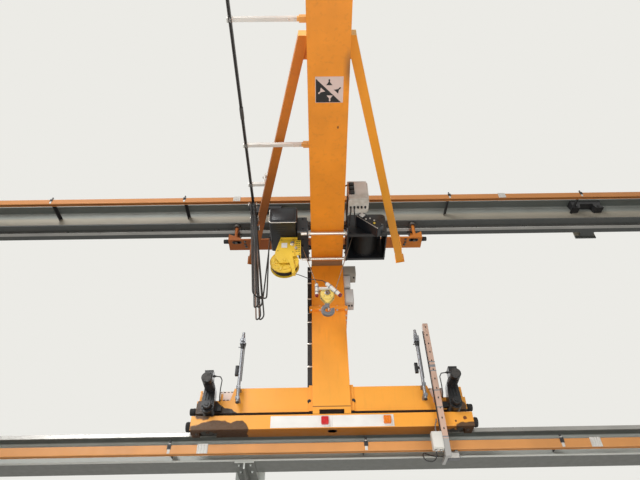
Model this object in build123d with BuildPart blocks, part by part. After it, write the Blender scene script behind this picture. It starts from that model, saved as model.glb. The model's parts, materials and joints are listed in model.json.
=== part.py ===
from build123d import *
from math import asin, atan2, cos, hypot, pi, radians, sin, tan
import os

# Wall travelling crane, in millimetres.
# x runs along the wall, the wall is on the +y side, the jib reaches out along -y, z is up.
# The origin lies on the back of the middle lower console, where it bolts to its column.

# Wall grid and runway length
BAY = 5000
RUNWAY_HALF = 6100
CRANE_X = 900
CONSOLE_XS = (-BAY, 0, BAY)

# Consoles on the columns
PLATE_W = 320
PLATE_H = 480
PLATE_T = 20
BOLT_DX = 220
BOLT_DZ = 380
BOLT_R = 11
ARM_W = 200
ARM_T = 16
ARM_NOSE = 60

# Lower runway: H section, flat rail on top, polished guide strip on its front edge
LOW_Y = -440
LOW_H = 300
LOW_W = 300
LOW_FLANGE = 19
LOW_WEB = 11
ROOT_R = 27
RAIL_TOP = 297
RAIL_W = 50
RAIL_H = 60
RAIL_EDGE_R = 6
STRIP_T = 20
STRIP_H = 42

# Upper runway: H section with a guide rail under it
UP_Y = -270
UP_H = 440
UP_W = 300
UP_FLANGE = 21
UP_WEB = 12
UP_BOTTOM = 3570
GUIDE_W = 60
GUIDE_H = 40

# Conductor bars, their hangers and the clamps at the bar joints
BAR_H = 94
BAR_D = 60
BAR_WALL = 6
BAR_SLOT = 22
LOW_BAR_Y = -670
LOW_BAR_Z = 25
UP_BAR_Y = -660
UP_BAR_Z = 3815
HANGER_PITCH = 2000
HANGER_W = 40
HANGER_T = 6
LOW_HANGER_X = 1240
UP_HANGER_X = 790
CLAMP_X = -420
CLAMP_W = 110
CLAMP_T = 5

# Mast and jib
MAST_W = 400
MAST_FRONT = -810
MAST_FOOT = 375
SPLICE_Z = 1663
SPLICE_T = 23
SPLICE_LIP = 31
JIB_UNDER = 2388
JIB_W = 400
JIB_TIP = -6010
JIB_REAR = -350
JIB_FLANGE = 25
JIB_BOX_W = 260
JIB_TOP_W = 340
JIB_TOP_FLANGE = 20
JIB_H = 662
JIB_END_T = 12

# Upper end carriage
HEAD_HALF = 1435
HEAD_D = 220
HEAD_T = 25
HEAD_UNDER = 3260
HEAD_END_H = 100
HEAD_END_T = 12
GUIDE_ROLLER_R = 55
GUIDE_ROLLER_H = 42
GUIDE_ROLLER_INSET = 105
ROLLER_PIN_R = 15
HEAD_BOSS_R = 24
STOOL_HALF_W = 150
STOOL_T = 20

# Braces between the jib and the upper carriage
BRACE_W = 100
BRACE_H = 120
BRACE_Z = 2840
BRACE_JIB_X = 235
BRACE_JIB_Y = -3665
BRACE_WALL_X = 1059
BRACE_WALL_Y = -330
BRACE_CAP_T = 12
BRACE_GUSSET_L = 265
HANGER_POST_W = 90
HANGER_POST_D = 110

# Lower end carriage: travel beam with the driven wheels
BEAM_HALF = 1430
BEAM_FRONT = -760
BEAM_D = 400
BEAM_TOP = 655
BEAM_LOW_TOP = 515
BEAM_STEP_INSET = 385
BEAM_STEP_RUN = 35
JOINT_PLATE_T = 20
JOINT_PLATE_LIP = 15
WHEEL_R = 100
WHEEL_FLANGE_R = 113
WHEEL_TREAD = 60
WHEEL_FLANGE_T = 12
WHEEL_INSET = 140
AXLE_R = 25
POCKET_GAP = 7

# Guide roller beam below it
ROLLER_BEAM_OVER = 25
ROLLER_BEAM_D = 190
ROLLER_BEAM_BOTTOM = 172
ROLLER_BEAM_TOP = 327
SIDE_ROLLER_R = 80
SIDE_ROLLER_H = 38
SIDE_ROLLER_INSET = 165
SIDE_PIN_R = 20
FOOT_W = 70

# Travel drives
DRIVE_FACE = -880
DRIVE_LOW_R = 68
DRIVE_TOP_R = 56
DRIVE_TOP_Z = 612
MOTOR_R = 48
MOTOR_END = -1100
DRIVE_BOSS_R = 45
TERMINAL_W = 90
TERMINAL_H = 62
TERMINAL_L = 110

# Buffers
BUFFER_Y = -650
BUFFER_R = 38
BUFFER_L = 85
BIG_BUFFER_R = 50
BIG_BUFFER_L = 60
HEAD_BUFFER_R = 32

# Posts, boxes and the lamp panel on the lower carriage
SENSOR_INSET = 440
SENSOR_Y = -850
SENSOR_R = 17.5
SENSOR_LOW = 455
SENSOR_TOP = 1150
COLLECTOR_INSET = 343
COLLECTOR_Y = -870
COLLECTOR_W = 58
COLLECTOR_LOW = -165
COLLECTOR_TOP = 1370
JUNCTION_W = 108
JUNCTION_D = 60
JUNCTION_Z = (-95, 80)
PANEL_INSET = 821
MAST_BOX_Y = -770
MAST_BOXES = ((170, 170, 2240, 2380), (90, 130, 2040, 2215), (120, 160, 1790, 1995))
PANEL_LOW = 178
PANEL_TOP = 306
PANEL_T = 6

# Festoon track beside the jib
TRACK_X = -908
TRACK_DROP = 120
TRACK_W = 30
TRACK_WALL = 3
TRACK_SLOT = 12
TRACK_REAR = -1195
TRACK_ARM_W = 38
TRACK_ARM_YS = (-5300, -3890, -2460)
TRACK_ARM_END = 35
ARM_FOOT_L = 140
ARM_FOOT_W = 56
BRACE_ARM_Y = -1885
BRACE_LUG_GAP = 20
SADDLE_W = 84
LOOP_W = 110
LOOP_DROP = 35
LOOP_LOW = 1190
LOOP_LEAN = 150
LOOP_GATHER_X = 28
LOOP_GATHER_Y = 20

# Hoist trolley under the jib
TROLLEY_Y = -1220
TROLLEY_WHEEL_DY = 180
TROLLEY_WHEEL_R = 60
TROLLEY_WHEEL_W = 44
SIDE_X = 240
SIDE_T = 16
SIDE_REAR = -925
SIDE_FRONT = -1515
SIDE_LOW = 2285
SIDE_TOP = 2560
ROD_R = 20
ROD_Z = 2320
ROD_YS = (-1450, -990)
TRAVEL_OUT = 4000
STOP_GAP = 15

# Hoist drum on the right of the jib, motor cover on the left
DRUM_X = 485
HOOD_RIGHT = 735
DRUM_Z = 2530
DRUM_R = 140
DRUM_FLANGE_R = 155
DRUM_REAR = -965
DRUM_FRONT = -1345
COVER_LEFT = -700
COVER_RIGHT = -364
COVER_FRONT = -1600
COVER_REAR = -1090
COVER_LOW = 2375
COVER_TOP = 2630

# Cable reel under the motor cover
REEL_X = -518
REEL_Z = 2002
REEL_R = 172
REEL_REAR = -1205
REEL_FRONT = -1305
CARRIER_LEFT = 115
CARRIER_RIGHT = 193
GUIDE_DX = 113
GUIDE_DZ = 189

# Hook block and hook
HOOK_X = -20
BLOCK_Z = 1554
CHEEK_R = 84
CHEEK_T = 26
SHEAVE_R = 74
SHEAVE_T = 40
BLOCK_AXLE_R = 37
ROPE_R = 5
HOOK_NECK_R = 22
HOOK_SHANK_R = 12
HOOK_BOWL_R = 33
HOOK_OUT_R = 80
HOOK_T = 46
HOOK_ROUND = 9

# Clearances
RUN_GAP = 0.3
BORE_GAP = 0.05
SEAT = 0.3

# Sizes that follow from the ones above
GUIDE_ROLLER_X = HEAD_HALF - GUIDE_ROLLER_INSET
WHEEL_X = BEAM_HALF - WHEEL_INSET
ROLLER_BEAM_HALF = BEAM_HALF + ROLLER_BEAM_OVER
BEAM_STEP_X = BEAM_HALF - BEAM_STEP_INSET
SIDE_ROLLER_X = ROLLER_BEAM_HALF - SIDE_ROLLER_INSET
SENSOR_X = BEAM_HALF - SENSOR_INSET
COLLECTOR_X = ROLLER_BEAM_HALF - COLLECTOR_INSET
PANEL_HALF = ROLLER_BEAM_HALF - PANEL_INSET
LOW_TOP = RAIL_TOP - RAIL_H
LOW_BOTTOM = LOW_TOP - LOW_H
LOW_FRONT = LOW_Y - LOW_W / 2
UP_FRONT = UP_Y - UP_W / 2
UP_TOP = UP_BOTTOM + UP_H
GUIDE_LOW = UP_BOTTOM - GUIDE_H
JIB_TOP = JIB_UNDER + JIB_H
FLANGE_TOP = JIB_UNDER + JIB_FLANGE
BEAM_REAR = BEAM_FRONT + BEAM_D
WHEEL_Z = RAIL_TOP + WHEEL_R + RUN_GAP
ROLLER_BEAM_REAR = MAST_FRONT + ROLLER_BEAM_D
STRIP_FRONT = LOW_FRONT - STRIP_T
SIDE_ROLLER_Y = STRIP_FRONT - SIDE_ROLLER_R - RUN_GAP
HEAD_FRONT = UP_Y - HEAD_D / 2
HEAD_REAR = UP_Y + HEAD_D / 2
HEAD_TOP = HEAD_UNDER + HEAD_T
MAST_REAR = MAST_FRONT + MAST_W
TRACK_TOP = BRACE_Z - TRACK_DROP
TRACK_LOW = TRACK_TOP - TRACK_W
LOOP_TOP = TRACK_LOW - LOOP_DROP

os.makedirs("parts", exist_ok=True)


def span(x, y, z, mode=Mode.ADD):
    """Block between a low and a high value in x, y and z."""
    with Locations((sum(x) / 2, sum(y) / 2, sum(z) / 2)):
        Box(x[1] - x[0], y[1] - y[0], z[1] - z[0], mode=mode)


def rod(start, end, radius, mode=Mode.ADD):
    """Round bar, or bore, between two points."""
    run = Vector(*end) - Vector(*start)
    with Locations(Plane(origin=start, z_dir=run)):
        Cylinder(radius, run.length, align=(Align.CENTER, Align.CENTER, Align.MIN), mode=mode)


def side_plate(outline, x, thickness, mode=Mode.ADD):
    """Plate with a (y, z) outline, from x towards +x."""
    with BuildSketch(Plane.YZ.offset(x)) as profile:
        with BuildLine():
            Polyline(*outline, close=True)
        make_face()
    extrude(profile.sketch, amount=thickness, mode=mode)


def front_plate(outline, y_rear, thickness, mode=Mode.ADD):
    """Plate with an (x, z) outline, from y_rear towards the front."""
    with BuildSketch(Plane.XZ.offset(-y_rear)) as profile:
        with BuildLine():
            Polyline(*outline, close=True)
        make_face()
    extrude(profile.sketch, amount=thickness, mode=mode)


def low_high(a, b):
    """Two values in rising order, for a piece that is mirrored in x."""
    return (min(a, b), max(a, b))


def finish(builder, label):
    """Name a finished piece and write it."""
    builder.part.label = label
    export_step(builder.part, f"parts/{label}.step")


# Runway beams
def h_beam(width, height, flange, web, centre_y, bottom_z):
    """Rolled H section along the wall, with its root fillets."""
    with BuildSketch(Plane.YZ.offset(-RUNWAY_HALF)) as section:
        with Locations((centre_y, bottom_z + height / 2)):
            Rectangle(web, height)
        with Locations((centre_y, bottom_z + flange / 2), (centre_y, bottom_z + height - flange / 2)):
            Rectangle(width, flange)
        roots = [
            corner
            for corner in section.vertices()
            if abs(abs(corner.X - centre_y) - web / 2) < 0.1
            and bottom_z + 1 < corner.Y < bottom_z + height - 1
        ]
        fillet(roots, ROOT_R)
    extrude(section.sketch, amount=2 * RUNWAY_HALF)


with BuildPart() as lower_runway_beam:
    h_beam(LOW_W, LOW_H, LOW_FLANGE, LOW_WEB, LOW_Y, LOW_BOTTOM)
finish(lower_runway_beam, "lower_runway_beam")

with BuildPart() as upper_runway_beam:
    h_beam(UP_W, UP_H, UP_FLANGE, UP_WEB, UP_Y, UP_BOTTOM)
finish(upper_runway_beam, "upper_runway_beam")

with BuildPart() as lower_rail:
    with BuildSketch(Plane.YZ.offset(-RUNWAY_HALF)) as rail_section:
        with Locations((LOW_Y, LOW_TOP + RAIL_H / 2)):
            Rectangle(RAIL_W, RAIL_H)
        fillet(rail_section.vertices().group_by(Axis.Y)[-1], RAIL_EDGE_R)
    extrude(rail_section.sketch, amount=2 * RUNWAY_HALF)
    span(
        (-RUNWAY_HALF, RUNWAY_HALF),
        (STRIP_FRONT, LOW_FRONT),
        (LOW_TOP - STRIP_H, LOW_TOP),
    )
finish(lower_rail, "lower_rail")

with BuildPart() as upper_guide_rail:
    span(
        (-RUNWAY_HALF, RUNWAY_HALF),
        (UP_Y - GUIDE_W / 2, UP_Y + GUIDE_W / 2),
        (GUIDE_LOW, UP_BOTTOM),
    )
    chamfer(upper_guide_rail.edges().filter_by(Axis.X).group_by(Axis.Z)[0], 4)
finish(upper_guide_rail, "upper_guide_rail")


# Consoles that carry the runway from the columns
def console_plate(x, z):
    """Back plate with its four bolt holes, its back face on y = 0."""
    with BuildSketch(Plane.XZ) as face:
        with Locations((x, z)):
            Rectangle(PLATE_W, PLATE_H)
            with GridLocations(BOLT_DX, BOLT_DZ, 2, 2):
                Circle(BOLT_R, mode=Mode.SUBTRACT)
    extrude(face.sketch, amount=PLATE_T)


with BuildPart() as lower_consoles:
    for column_x in CONSOLE_XS:
        console_plate(column_x, 0)
        span(
            (column_x - ARM_W / 2, column_x + ARM_W / 2),
            (LOW_FRONT, -PLATE_T),
            (LOW_BOTTOM - ARM_T, LOW_BOTTOM),
        )
        bracket = [
            (LOW_FRONT, LOW_BOTTOM - ARM_T),
            (LOW_FRONT, LOW_BOTTOM - ARM_T - ARM_NOSE),
            (-PLATE_T, -PLATE_H / 2),
            (-PLATE_T, LOW_BOTTOM - ARM_T),
        ]
        side_plate(bracket, column_x - ARM_T / 2, ARM_T)
        span(
            (column_x - ARM_W / 2, column_x + ARM_W / 2),
            (LOW_Y + LOW_W / 2, -PLATE_T),
            (LOW_TOP - LOW_FLANGE, LOW_TOP),
        )
finish(lower_consoles, "lower_consoles")

UP_CONSOLE_Z = UP_BOTTOM + UP_H / 2
with BuildPart() as upper_consoles:
    for column_x in CONSOLE_XS:
        console_plate(column_x, UP_CONSOLE_Z)
        for plate_z in (UP_BOTTOM, UP_TOP - UP_FLANGE):
            span(
                (column_x - ARM_W / 2, column_x + ARM_W / 2),
                (UP_Y + UP_W / 2, -PLATE_T),
                (plate_z, plate_z + UP_FLANGE),
            )
        inside = UP_FLANGE + ROOT_R + 3
        stiffener = [
            (UP_Y + UP_WEB / 2, UP_BOTTOM + inside),
            (UP_Y + UP_WEB / 2, UP_TOP - inside),
            (UP_Y + UP_WEB / 2 + ROOT_R + 3, UP_TOP - UP_FLANGE),
            (-PLATE_T, UP_TOP - UP_FLANGE),
            (-PLATE_T, UP_BOTTOM + UP_FLANGE),
            (UP_Y + UP_WEB / 2 + ROOT_R + 3, UP_BOTTOM + UP_FLANGE),
        ]
        side_plate(stiffener, column_x - ARM_T / 2, ARM_T)
finish(upper_consoles, "upper_consoles")


# Enclosed conductor bars: a plastic C section, open below
def conductor_bar(centre_y, centre_z):
    with BuildSketch(Plane.YZ.offset(-RUNWAY_HALF)) as section:
        with Locations((centre_y, centre_z)):
            Rectangle(BAR_D, BAR_H)
            fillet(section.vertices(), 8)
            Rectangle(BAR_D - 2 * BAR_WALL, BAR_H - 2 * BAR_WALL, mode=Mode.SUBTRACT)
        with Locations((centre_y, centre_z - BAR_H / 2)):
            Rectangle(BAR_SLOT, 4 * BAR_WALL, mode=Mode.SUBTRACT)
    extrude(section.sketch, amount=2 * RUNWAY_HALF)


def bar_hanger(x, bar_y, bar_z, web_y):
    """Strap that grips a conductor bar from above, on an arm from the beam's web."""
    half = HANGER_W / 2
    top = bar_z + BAR_H / 2
    span((x - half, x + half), (bar_y - BAR_D / 2, bar_y + BAR_D / 2), (top, top + HANGER_T))
    for side in (-1, 1):
        inner = bar_y + side * BAR_D / 2
        outer = inner + side * HANGER_T
        span((x - half, x + half), low_high(inner, outer), (bar_z, top + HANGER_T))
    arm = [
        (bar_y + BAR_D / 2, top + HANGER_T),
        (bar_y + BAR_D / 2, top - HANGER_W),
        (web_y, top - HANGER_W),
        (web_y, top + HANGER_T),
    ]
    side_plate(arm, x - half, HANGER_T)
    span((x - half, x + half), (bar_y + BAR_D / 2, web_y), (top, top + HANGER_T))


def joint_clamp(x, bar_y, bar_z):
    """Cover sleeve over a joint of the bar, open below."""
    for side in (-1, 1):
        inner = bar_y + side * BAR_D / 2
        span(
            (x - CLAMP_W / 2, x + CLAMP_W / 2),
            low_high(inner, inner + side * CLAMP_T),
            (bar_z - BAR_H / 2, bar_z + BAR_H / 2 + CLAMP_T),
        )
    span(
        (x - CLAMP_W / 2, x + CLAMP_W / 2),
        (bar_y - BAR_D / 2, bar_y + BAR_D / 2),
        (bar_z + BAR_H / 2, bar_z + BAR_H / 2 + CLAMP_T),
    )


def along_runway(first, pitch):
    """Positions at one pitch that lie on the runway, clear of its ends."""
    reach = RUNWAY_HALF - CLAMP_W
    places = [first + pitch * step for step in range(-6, 7)]
    return [place for place in places if -reach < place < reach]


with BuildPart() as lower_conductor_bar:
    conductor_bar(LOW_BAR_Y, LOW_BAR_Z)
finish(lower_conductor_bar, "lower_conductor_bar")

with BuildPart() as upper_conductor_bar:
    conductor_bar(UP_BAR_Y, UP_BAR_Z)
finish(upper_conductor_bar, "upper_conductor_bar")

with BuildPart() as bar_hangers:
    for hanger_x in along_runway(LOW_HANGER_X, HANGER_PITCH):
        bar_hanger(hanger_x, LOW_BAR_Y, LOW_BAR_Z, LOW_Y - LOW_WEB / 2)
    for hanger_x in along_runway(UP_HANGER_X, HANGER_PITCH):
        bar_hanger(hanger_x, UP_BAR_Y, UP_BAR_Z, UP_Y - UP_WEB / 2)
finish(bar_hangers, "bar_hangers")

with BuildPart() as bar_joint_clamps:
    for clamp_x in along_runway(CLAMP_X, 2 * HANGER_PITCH):
        joint_clamp(clamp_x, LOW_BAR_Y, LOW_BAR_Z)
        joint_clamp(clamp_x, UP_BAR_Y, UP_BAR_Z)
finish(bar_joint_clamps, "bar_joint_clamps")


# Jib: welded box girder whose wide bottom flange carries the trolley wheels
with BuildPart() as jib_girder:
    with BuildSketch(Plane.XZ.offset(-JIB_REAR)) as jib_section:
        with Locations((CRANE_X, JIB_UNDER + JIB_FLANGE / 2)):
            Rectangle(JIB_W, JIB_FLANGE)
        with Locations((CRANE_X, JIB_UNDER + JIB_H / 2)):
            Rectangle(JIB_BOX_W, JIB_H)
        with Locations((CRANE_X, JIB_TOP - JIB_TOP_FLANGE / 2)):
            Rectangle(JIB_TOP_W, JIB_TOP_FLANGE)
    extrude(jib_section.sketch, amount=JIB_REAR - JIB_TIP - JIB_END_T)
    span(
        (CRANE_X - JIB_W / 2, CRANE_X + JIB_W / 2),
        (JIB_TIP, JIB_TIP + JIB_END_T),
        (JIB_UNDER, JIB_TOP),
    )
    for gusset_y in (MAST_FRONT, MAST_REAR - JIB_END_T):
        for side in (-1, 1):
            edge = CRANE_X + side * JIB_BOX_W / 2
            span(
                low_high(edge, edge + side * (JIB_TOP_W - JIB_BOX_W) / 2),
                (gusset_y, gusset_y + JIB_END_T),
                (FLANGE_TOP, JIB_TOP - JIB_TOP_FLANGE),
            )
finish(jib_girder, "jib_girder")


# Mast in two lengths, bolted at the splice
def splice_flange(low_z):
    half = MAST_W / 2 + SPLICE_LIP
    span(
        (CRANE_X - half, CRANE_X + half),
        (MAST_FRONT - SPLICE_LIP, MAST_REAR + SPLICE_LIP),
        (low_z, low_z + SPLICE_T),
    )


with BuildPart() as mast_upper:
    span(
        (CRANE_X - MAST_W / 2, CRANE_X + MAST_W / 2),
        (MAST_FRONT, MAST_REAR),
        (SPLICE_Z, JIB_UNDER),
    )
    splice_flange(SPLICE_Z)
finish(mast_upper, "mast_upper")

with BuildPart() as mast_lower:
    span(
        (CRANE_X - MAST_W / 2, CRANE_X + MAST_W / 2),
        (MAST_FRONT, MAST_REAR),
        (MAST_FOOT, SPLICE_Z),
    )
    splice_flange(SPLICE_Z - SPLICE_T)
    for side in (-1, 1):
        edge = CRANE_X + side * MAST_W / 2
        span(
            low_high(edge, edge + side * JOINT_PLATE_T),
            (BEAM_FRONT - JOINT_PLATE_LIP, BEAM_REAR + JOINT_PLATE_LIP),
            (MAST_FOOT, BEAM_TOP + JOINT_PLATE_LIP),
        )
        foot_x = CRANE_X + side * (MAST_W - FOOT_W) / 2
        span(
            (foot_x - FOOT_W / 2, foot_x + FOOT_W / 2),
            (MAST_FRONT, ROLLER_BEAM_REAR),
            (ROLLER_BEAM_TOP, MAST_FOOT),
        )
finish(mast_lower, "mast_lower")


# Head stool between the jib and the upper carriage
with BuildPart() as head_stool:
    stool_front = -760
    stool_side = [
        (stool_front, JIB_TOP),
        (JIB_REAR, JIB_TOP),
        (HEAD_REAR - STOOL_T, HEAD_UNDER - 120),
        (HEAD_REAR - STOOL_T, HEAD_UNDER - STOOL_T),
        (HEAD_FRONT, HEAD_UNDER - STOOL_T),
    ]
    for side in (-1, 1):
        outer = CRANE_X + side * STOOL_HALF_W
        side_plate(stool_side, low_high(outer, outer - side * STOOL_T)[0], STOOL_T)
    stool_x = (CRANE_X - STOOL_HALF_W, CRANE_X + STOOL_HALF_W)
    span(stool_x, (HEAD_FRONT, HEAD_REAR), (HEAD_UNDER - STOOL_T, HEAD_UNDER))
    slope = [
        (stool_front, JIB_TOP),
        (stool_front + 30, JIB_TOP),
        (HEAD_FRONT + 30, HEAD_UNDER - STOOL_T),
        (HEAD_FRONT, HEAD_UNDER - STOOL_T),
    ]
    side_plate(slope, CRANE_X - STOOL_HALF_W, 2 * STOOL_HALF_W)
finish(head_stool, "head_stool")


# Upper carriage: plate with bosses that hold the guide rollers from below
ROLLER_LOW = UP_BOTTOM - 6 - GUIDE_ROLLER_H
ROLLER_YS = tuple(
    UP_Y + side * (GUIDE_W / 2 + GUIDE_ROLLER_R + RUN_GAP) for side in (-1, 1)
)
with BuildPart() as upper_carriage:
    span(
        (CRANE_X - HEAD_HALF, CRANE_X + HEAD_HALF),
        (HEAD_FRONT, HEAD_REAR),
        (HEAD_UNDER, HEAD_TOP),
    )
    for side in (-1, 1):
        end_x = CRANE_X + side * HEAD_HALF
        span(
            low_high(end_x, end_x - side * HEAD_END_T),
            (HEAD_FRONT, HEAD_REAR),
            (HEAD_UNDER, HEAD_TOP + HEAD_END_H),
        )
        roller_x = CRANE_X + side * GUIDE_ROLLER_X
        for roller_y in ROLLER_YS:
            rod((roller_x, roller_y, HEAD_UNDER), (roller_x, roller_y, ROLLER_LOW), HEAD_BOSS_R)
            rod(
                (roller_x, roller_y, ROLLER_LOW),
                (roller_x, roller_y, ROLLER_LOW + GUIDE_ROLLER_H),
                ROLLER_PIN_R,
            )
        for rib_y in (HEAD_FRONT, HEAD_REAR - HEAD_END_T):
            rib = [
                (end_x, HEAD_TOP),
                (end_x, HEAD_TOP + HEAD_END_H),
                (end_x - side * 2 * HEAD_END_H, HEAD_TOP),
            ]
            front_plate(rib, rib_y + HEAD_END_T, HEAD_END_T)
finish(upper_carriage, "upper_carriage")


def roller(x, y, low_z, radius, height, pin_r):
    """Crowned guide roller on a vertical pin."""
    rod((x, y, low_z), (x, y, low_z + height), radius)
    rod((x, y, low_z), (x, y, low_z + height), pin_r + BORE_GAP, mode=Mode.SUBTRACT)


with BuildPart() as upper_guide_rollers:
    for side in (-1, 1):
        for roller_y in ROLLER_YS:
            roller(
                CRANE_X + side * GUIDE_ROLLER_X,
                roller_y,
                ROLLER_LOW,
                GUIDE_ROLLER_R,
                GUIDE_ROLLER_H,
                ROLLER_PIN_R,
            )
    rims = upper_guide_rollers.edges().filter_by(GeomType.CIRCLE)
    chamfer([rim for rim in rims if abs(rim.radius - GUIDE_ROLLER_R) < 0.1], 3)
finish(upper_guide_rollers, "upper_guide_rollers")


# Braces: rectangular tube from an end plate on the jib's web out to the upper carriage
BRACE_SLOPE = (BRACE_WALL_X - BRACE_JIB_X) / (BRACE_WALL_Y - BRACE_JIB_Y)
BRACE_HALF_X = BRACE_W / 2 * hypot(1, BRACE_SLOPE)


def brace_centre_x(y):
    """Distance of a brace's centre line from the jib's, at one distance from the wall."""
    return BRACE_JIB_X + BRACE_SLOPE * (y - BRACE_JIB_Y)


def plan_plate(outline, low_z, thickness):
    """Plate with an (x, y) outline, from low_z upwards."""
    with BuildSketch(Plane.XY.offset(low_z)) as profile:
        with BuildLine():
            Polyline(*outline, close=True)
        make_face()
    extrude(profile.sketch, amount=thickness)


def brace_tube(side):
    """Tube with its jib end cut square to the jib and its wall end square to itself."""
    jib_point = Vector(CRANE_X + side * BRACE_JIB_X, BRACE_JIB_Y, BRACE_Z)
    wall_point = Vector(CRANE_X + side * BRACE_WALL_X, BRACE_WALL_Y, BRACE_Z)
    run = wall_point - jib_point
    start = Plane(origin=jib_point, x_dir=run, z_dir=(0, 0, 1))
    with BuildSketch(start) as bar:
        with Locations((run.length / 2 - BRACE_W / 2, 0)):
            Rectangle(run.length + BRACE_W, BRACE_W)
    extrude(bar.sketch, amount=BRACE_H)
    split(bisect_by=Plane(origin=(0, BRACE_JIB_Y, 0), z_dir=(0, 1, 0)), keep=Keep.TOP)
    with BuildSketch(Plane(origin=wall_point, x_dir=run, z_dir=(0, 0, 1)).offset(-BRACE_CAP_T)) as cap:
        with Locations((BRACE_CAP_T / 2, 0)):
            Rectangle(BRACE_CAP_T, BRACE_W + 2 * BRACE_CAP_T)
    extrude(cap.sketch, amount=BRACE_H + 2 * BRACE_CAP_T)


def brace_foot(side):
    """End plate against the jib's web, and the gusset that fills the corner behind it."""
    web = CRANE_X + side * JIB_BOX_W / 2
    outer = CRANE_X + side * (BRACE_JIB_X + BRACE_HALF_X)
    span(
        low_high(web, outer),
        (BRACE_JIB_Y - BRACE_CAP_T, BRACE_JIB_Y),
        (BRACE_Z, BRACE_Z + BRACE_H),
    )
    gusset_end = BRACE_JIB_Y + BRACE_GUSSET_L
    gusset = [
        (web, BRACE_JIB_Y),
        (CRANE_X + side * brace_centre_x(BRACE_JIB_Y), BRACE_JIB_Y),
        (CRANE_X + side * brace_centre_x(gusset_end), gusset_end),
        (web, gusset_end),
    ]
    plan_plate(gusset, BRACE_Z + (BRACE_H - BRACE_CAP_T) / 2, BRACE_CAP_T)


for side, name in ((-1, "brace_left"), (1, "brace_right")):
    with BuildPart() as one_brace:
        brace_tube(side)
        brace_foot(side)
    finish(one_brace, name)

with BuildPart() as brace_hangers:
    for side in (-1, 1):
        post_y = BRACE_WALL_Y - BRACE_CAP_T - HANGER_POST_D / 2
        post_x = CRANE_X + side * brace_centre_x(post_y)
        span(
            (post_x - HANGER_POST_W / 2, post_x + HANGER_POST_W / 2),
            (post_y - HANGER_POST_D / 2, post_y + HANGER_POST_D / 2),
            (BRACE_Z + BRACE_H, HEAD_UNDER),
        )
finish(brace_hangers, "brace_hangers")


# Travel beams: one each side of the mast, stepped down over the wheels
def travel_beam(side):
    joint_x = CRANE_X + side * (MAST_W / 2 + JOINT_PLATE_T)
    inner_x = joint_x + side * JOINT_PLATE_T
    step_x = CRANE_X + side * BEAM_STEP_X
    end_x = CRANE_X + side * BEAM_HALF
    wheel_x = CRANE_X + side * WHEEL_X
    outline = [
        (inner_x, MAST_FOOT),
        (inner_x, BEAM_TOP),
        (step_x, BEAM_TOP),
        (step_x + side * BEAM_STEP_RUN, BEAM_LOW_TOP),
        (end_x, BEAM_LOW_TOP),
        (end_x, MAST_FOOT),
    ]
    front_plate(outline, BEAM_REAR, BEAM_D)
    span(
        low_high(joint_x, inner_x),
        (BEAM_FRONT - JOINT_PLATE_LIP, BEAM_REAR + JOINT_PLATE_LIP),
        (MAST_FOOT, BEAM_TOP + JOINT_PLATE_LIP),
    )
    pocket_half = WHEEL_TREAD / 2 + WHEEL_FLANGE_T + POCKET_GAP
    rod(
        (wheel_x, LOW_Y - pocket_half, WHEEL_Z),
        (wheel_x, LOW_Y + pocket_half, WHEEL_Z),
        WHEEL_FLANGE_R + POCKET_GAP,
        mode=Mode.SUBTRACT,
    )
    rod((wheel_x, BEAM_FRONT, WHEEL_Z), (wheel_x, BEAM_REAR, WHEEL_Z), AXLE_R + BORE_GAP, mode=Mode.SUBTRACT)


with BuildPart() as travel_beam_left:
    travel_beam(-1)
finish(travel_beam_left, "travel_beam_left")

with BuildPart() as travel_beam_right:
    travel_beam(1)
finish(travel_beam_right, "travel_beam_right")

# Travel wheels: double-flanged wheel, turned in one piece with its axle
with BuildPart() as travel_wheels:
    for side in (-1, 1):
        wheel_plane = Plane(
            origin=(CRANE_X + side * WHEEL_X, LOW_Y, WHEEL_Z), x_dir=(0, 1, 0), z_dir=(1, 0, 0)
        )
        half_tread = WHEEL_TREAD / 2
        half_wheel = half_tread + WHEEL_FLANGE_T
        with BuildSketch(wheel_plane) as half_section:
            with BuildLine():
                Polyline(
                    (BEAM_FRONT - LOW_Y, 0),
                    (BEAM_FRONT - LOW_Y, AXLE_R),
                    (-half_wheel, AXLE_R),
                    (-half_wheel, WHEEL_FLANGE_R - 4),
                    (-half_wheel + 4, WHEEL_FLANGE_R),
                    (-half_tread - 3, WHEEL_FLANGE_R),
                    (-half_tread, WHEEL_R),
                    (half_tread, WHEEL_R),
                    (half_tread + 3, WHEEL_FLANGE_R),
                    (half_wheel - 4, WHEEL_FLANGE_R),
                    (half_wheel, WHEEL_FLANGE_R - 4),
                    (half_wheel, AXLE_R),
                    (BEAM_REAR - LOW_Y, AXLE_R),
                    (BEAM_REAR - LOW_Y, 0),
                    close=True,
                )
            make_face()
        axle = Axis((CRANE_X + side * WHEEL_X, LOW_Y, WHEEL_Z), (0, 1, 0))
        revolve(half_section.sketch, axis=axle)
finish(travel_wheels, "travel_wheels")

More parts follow.
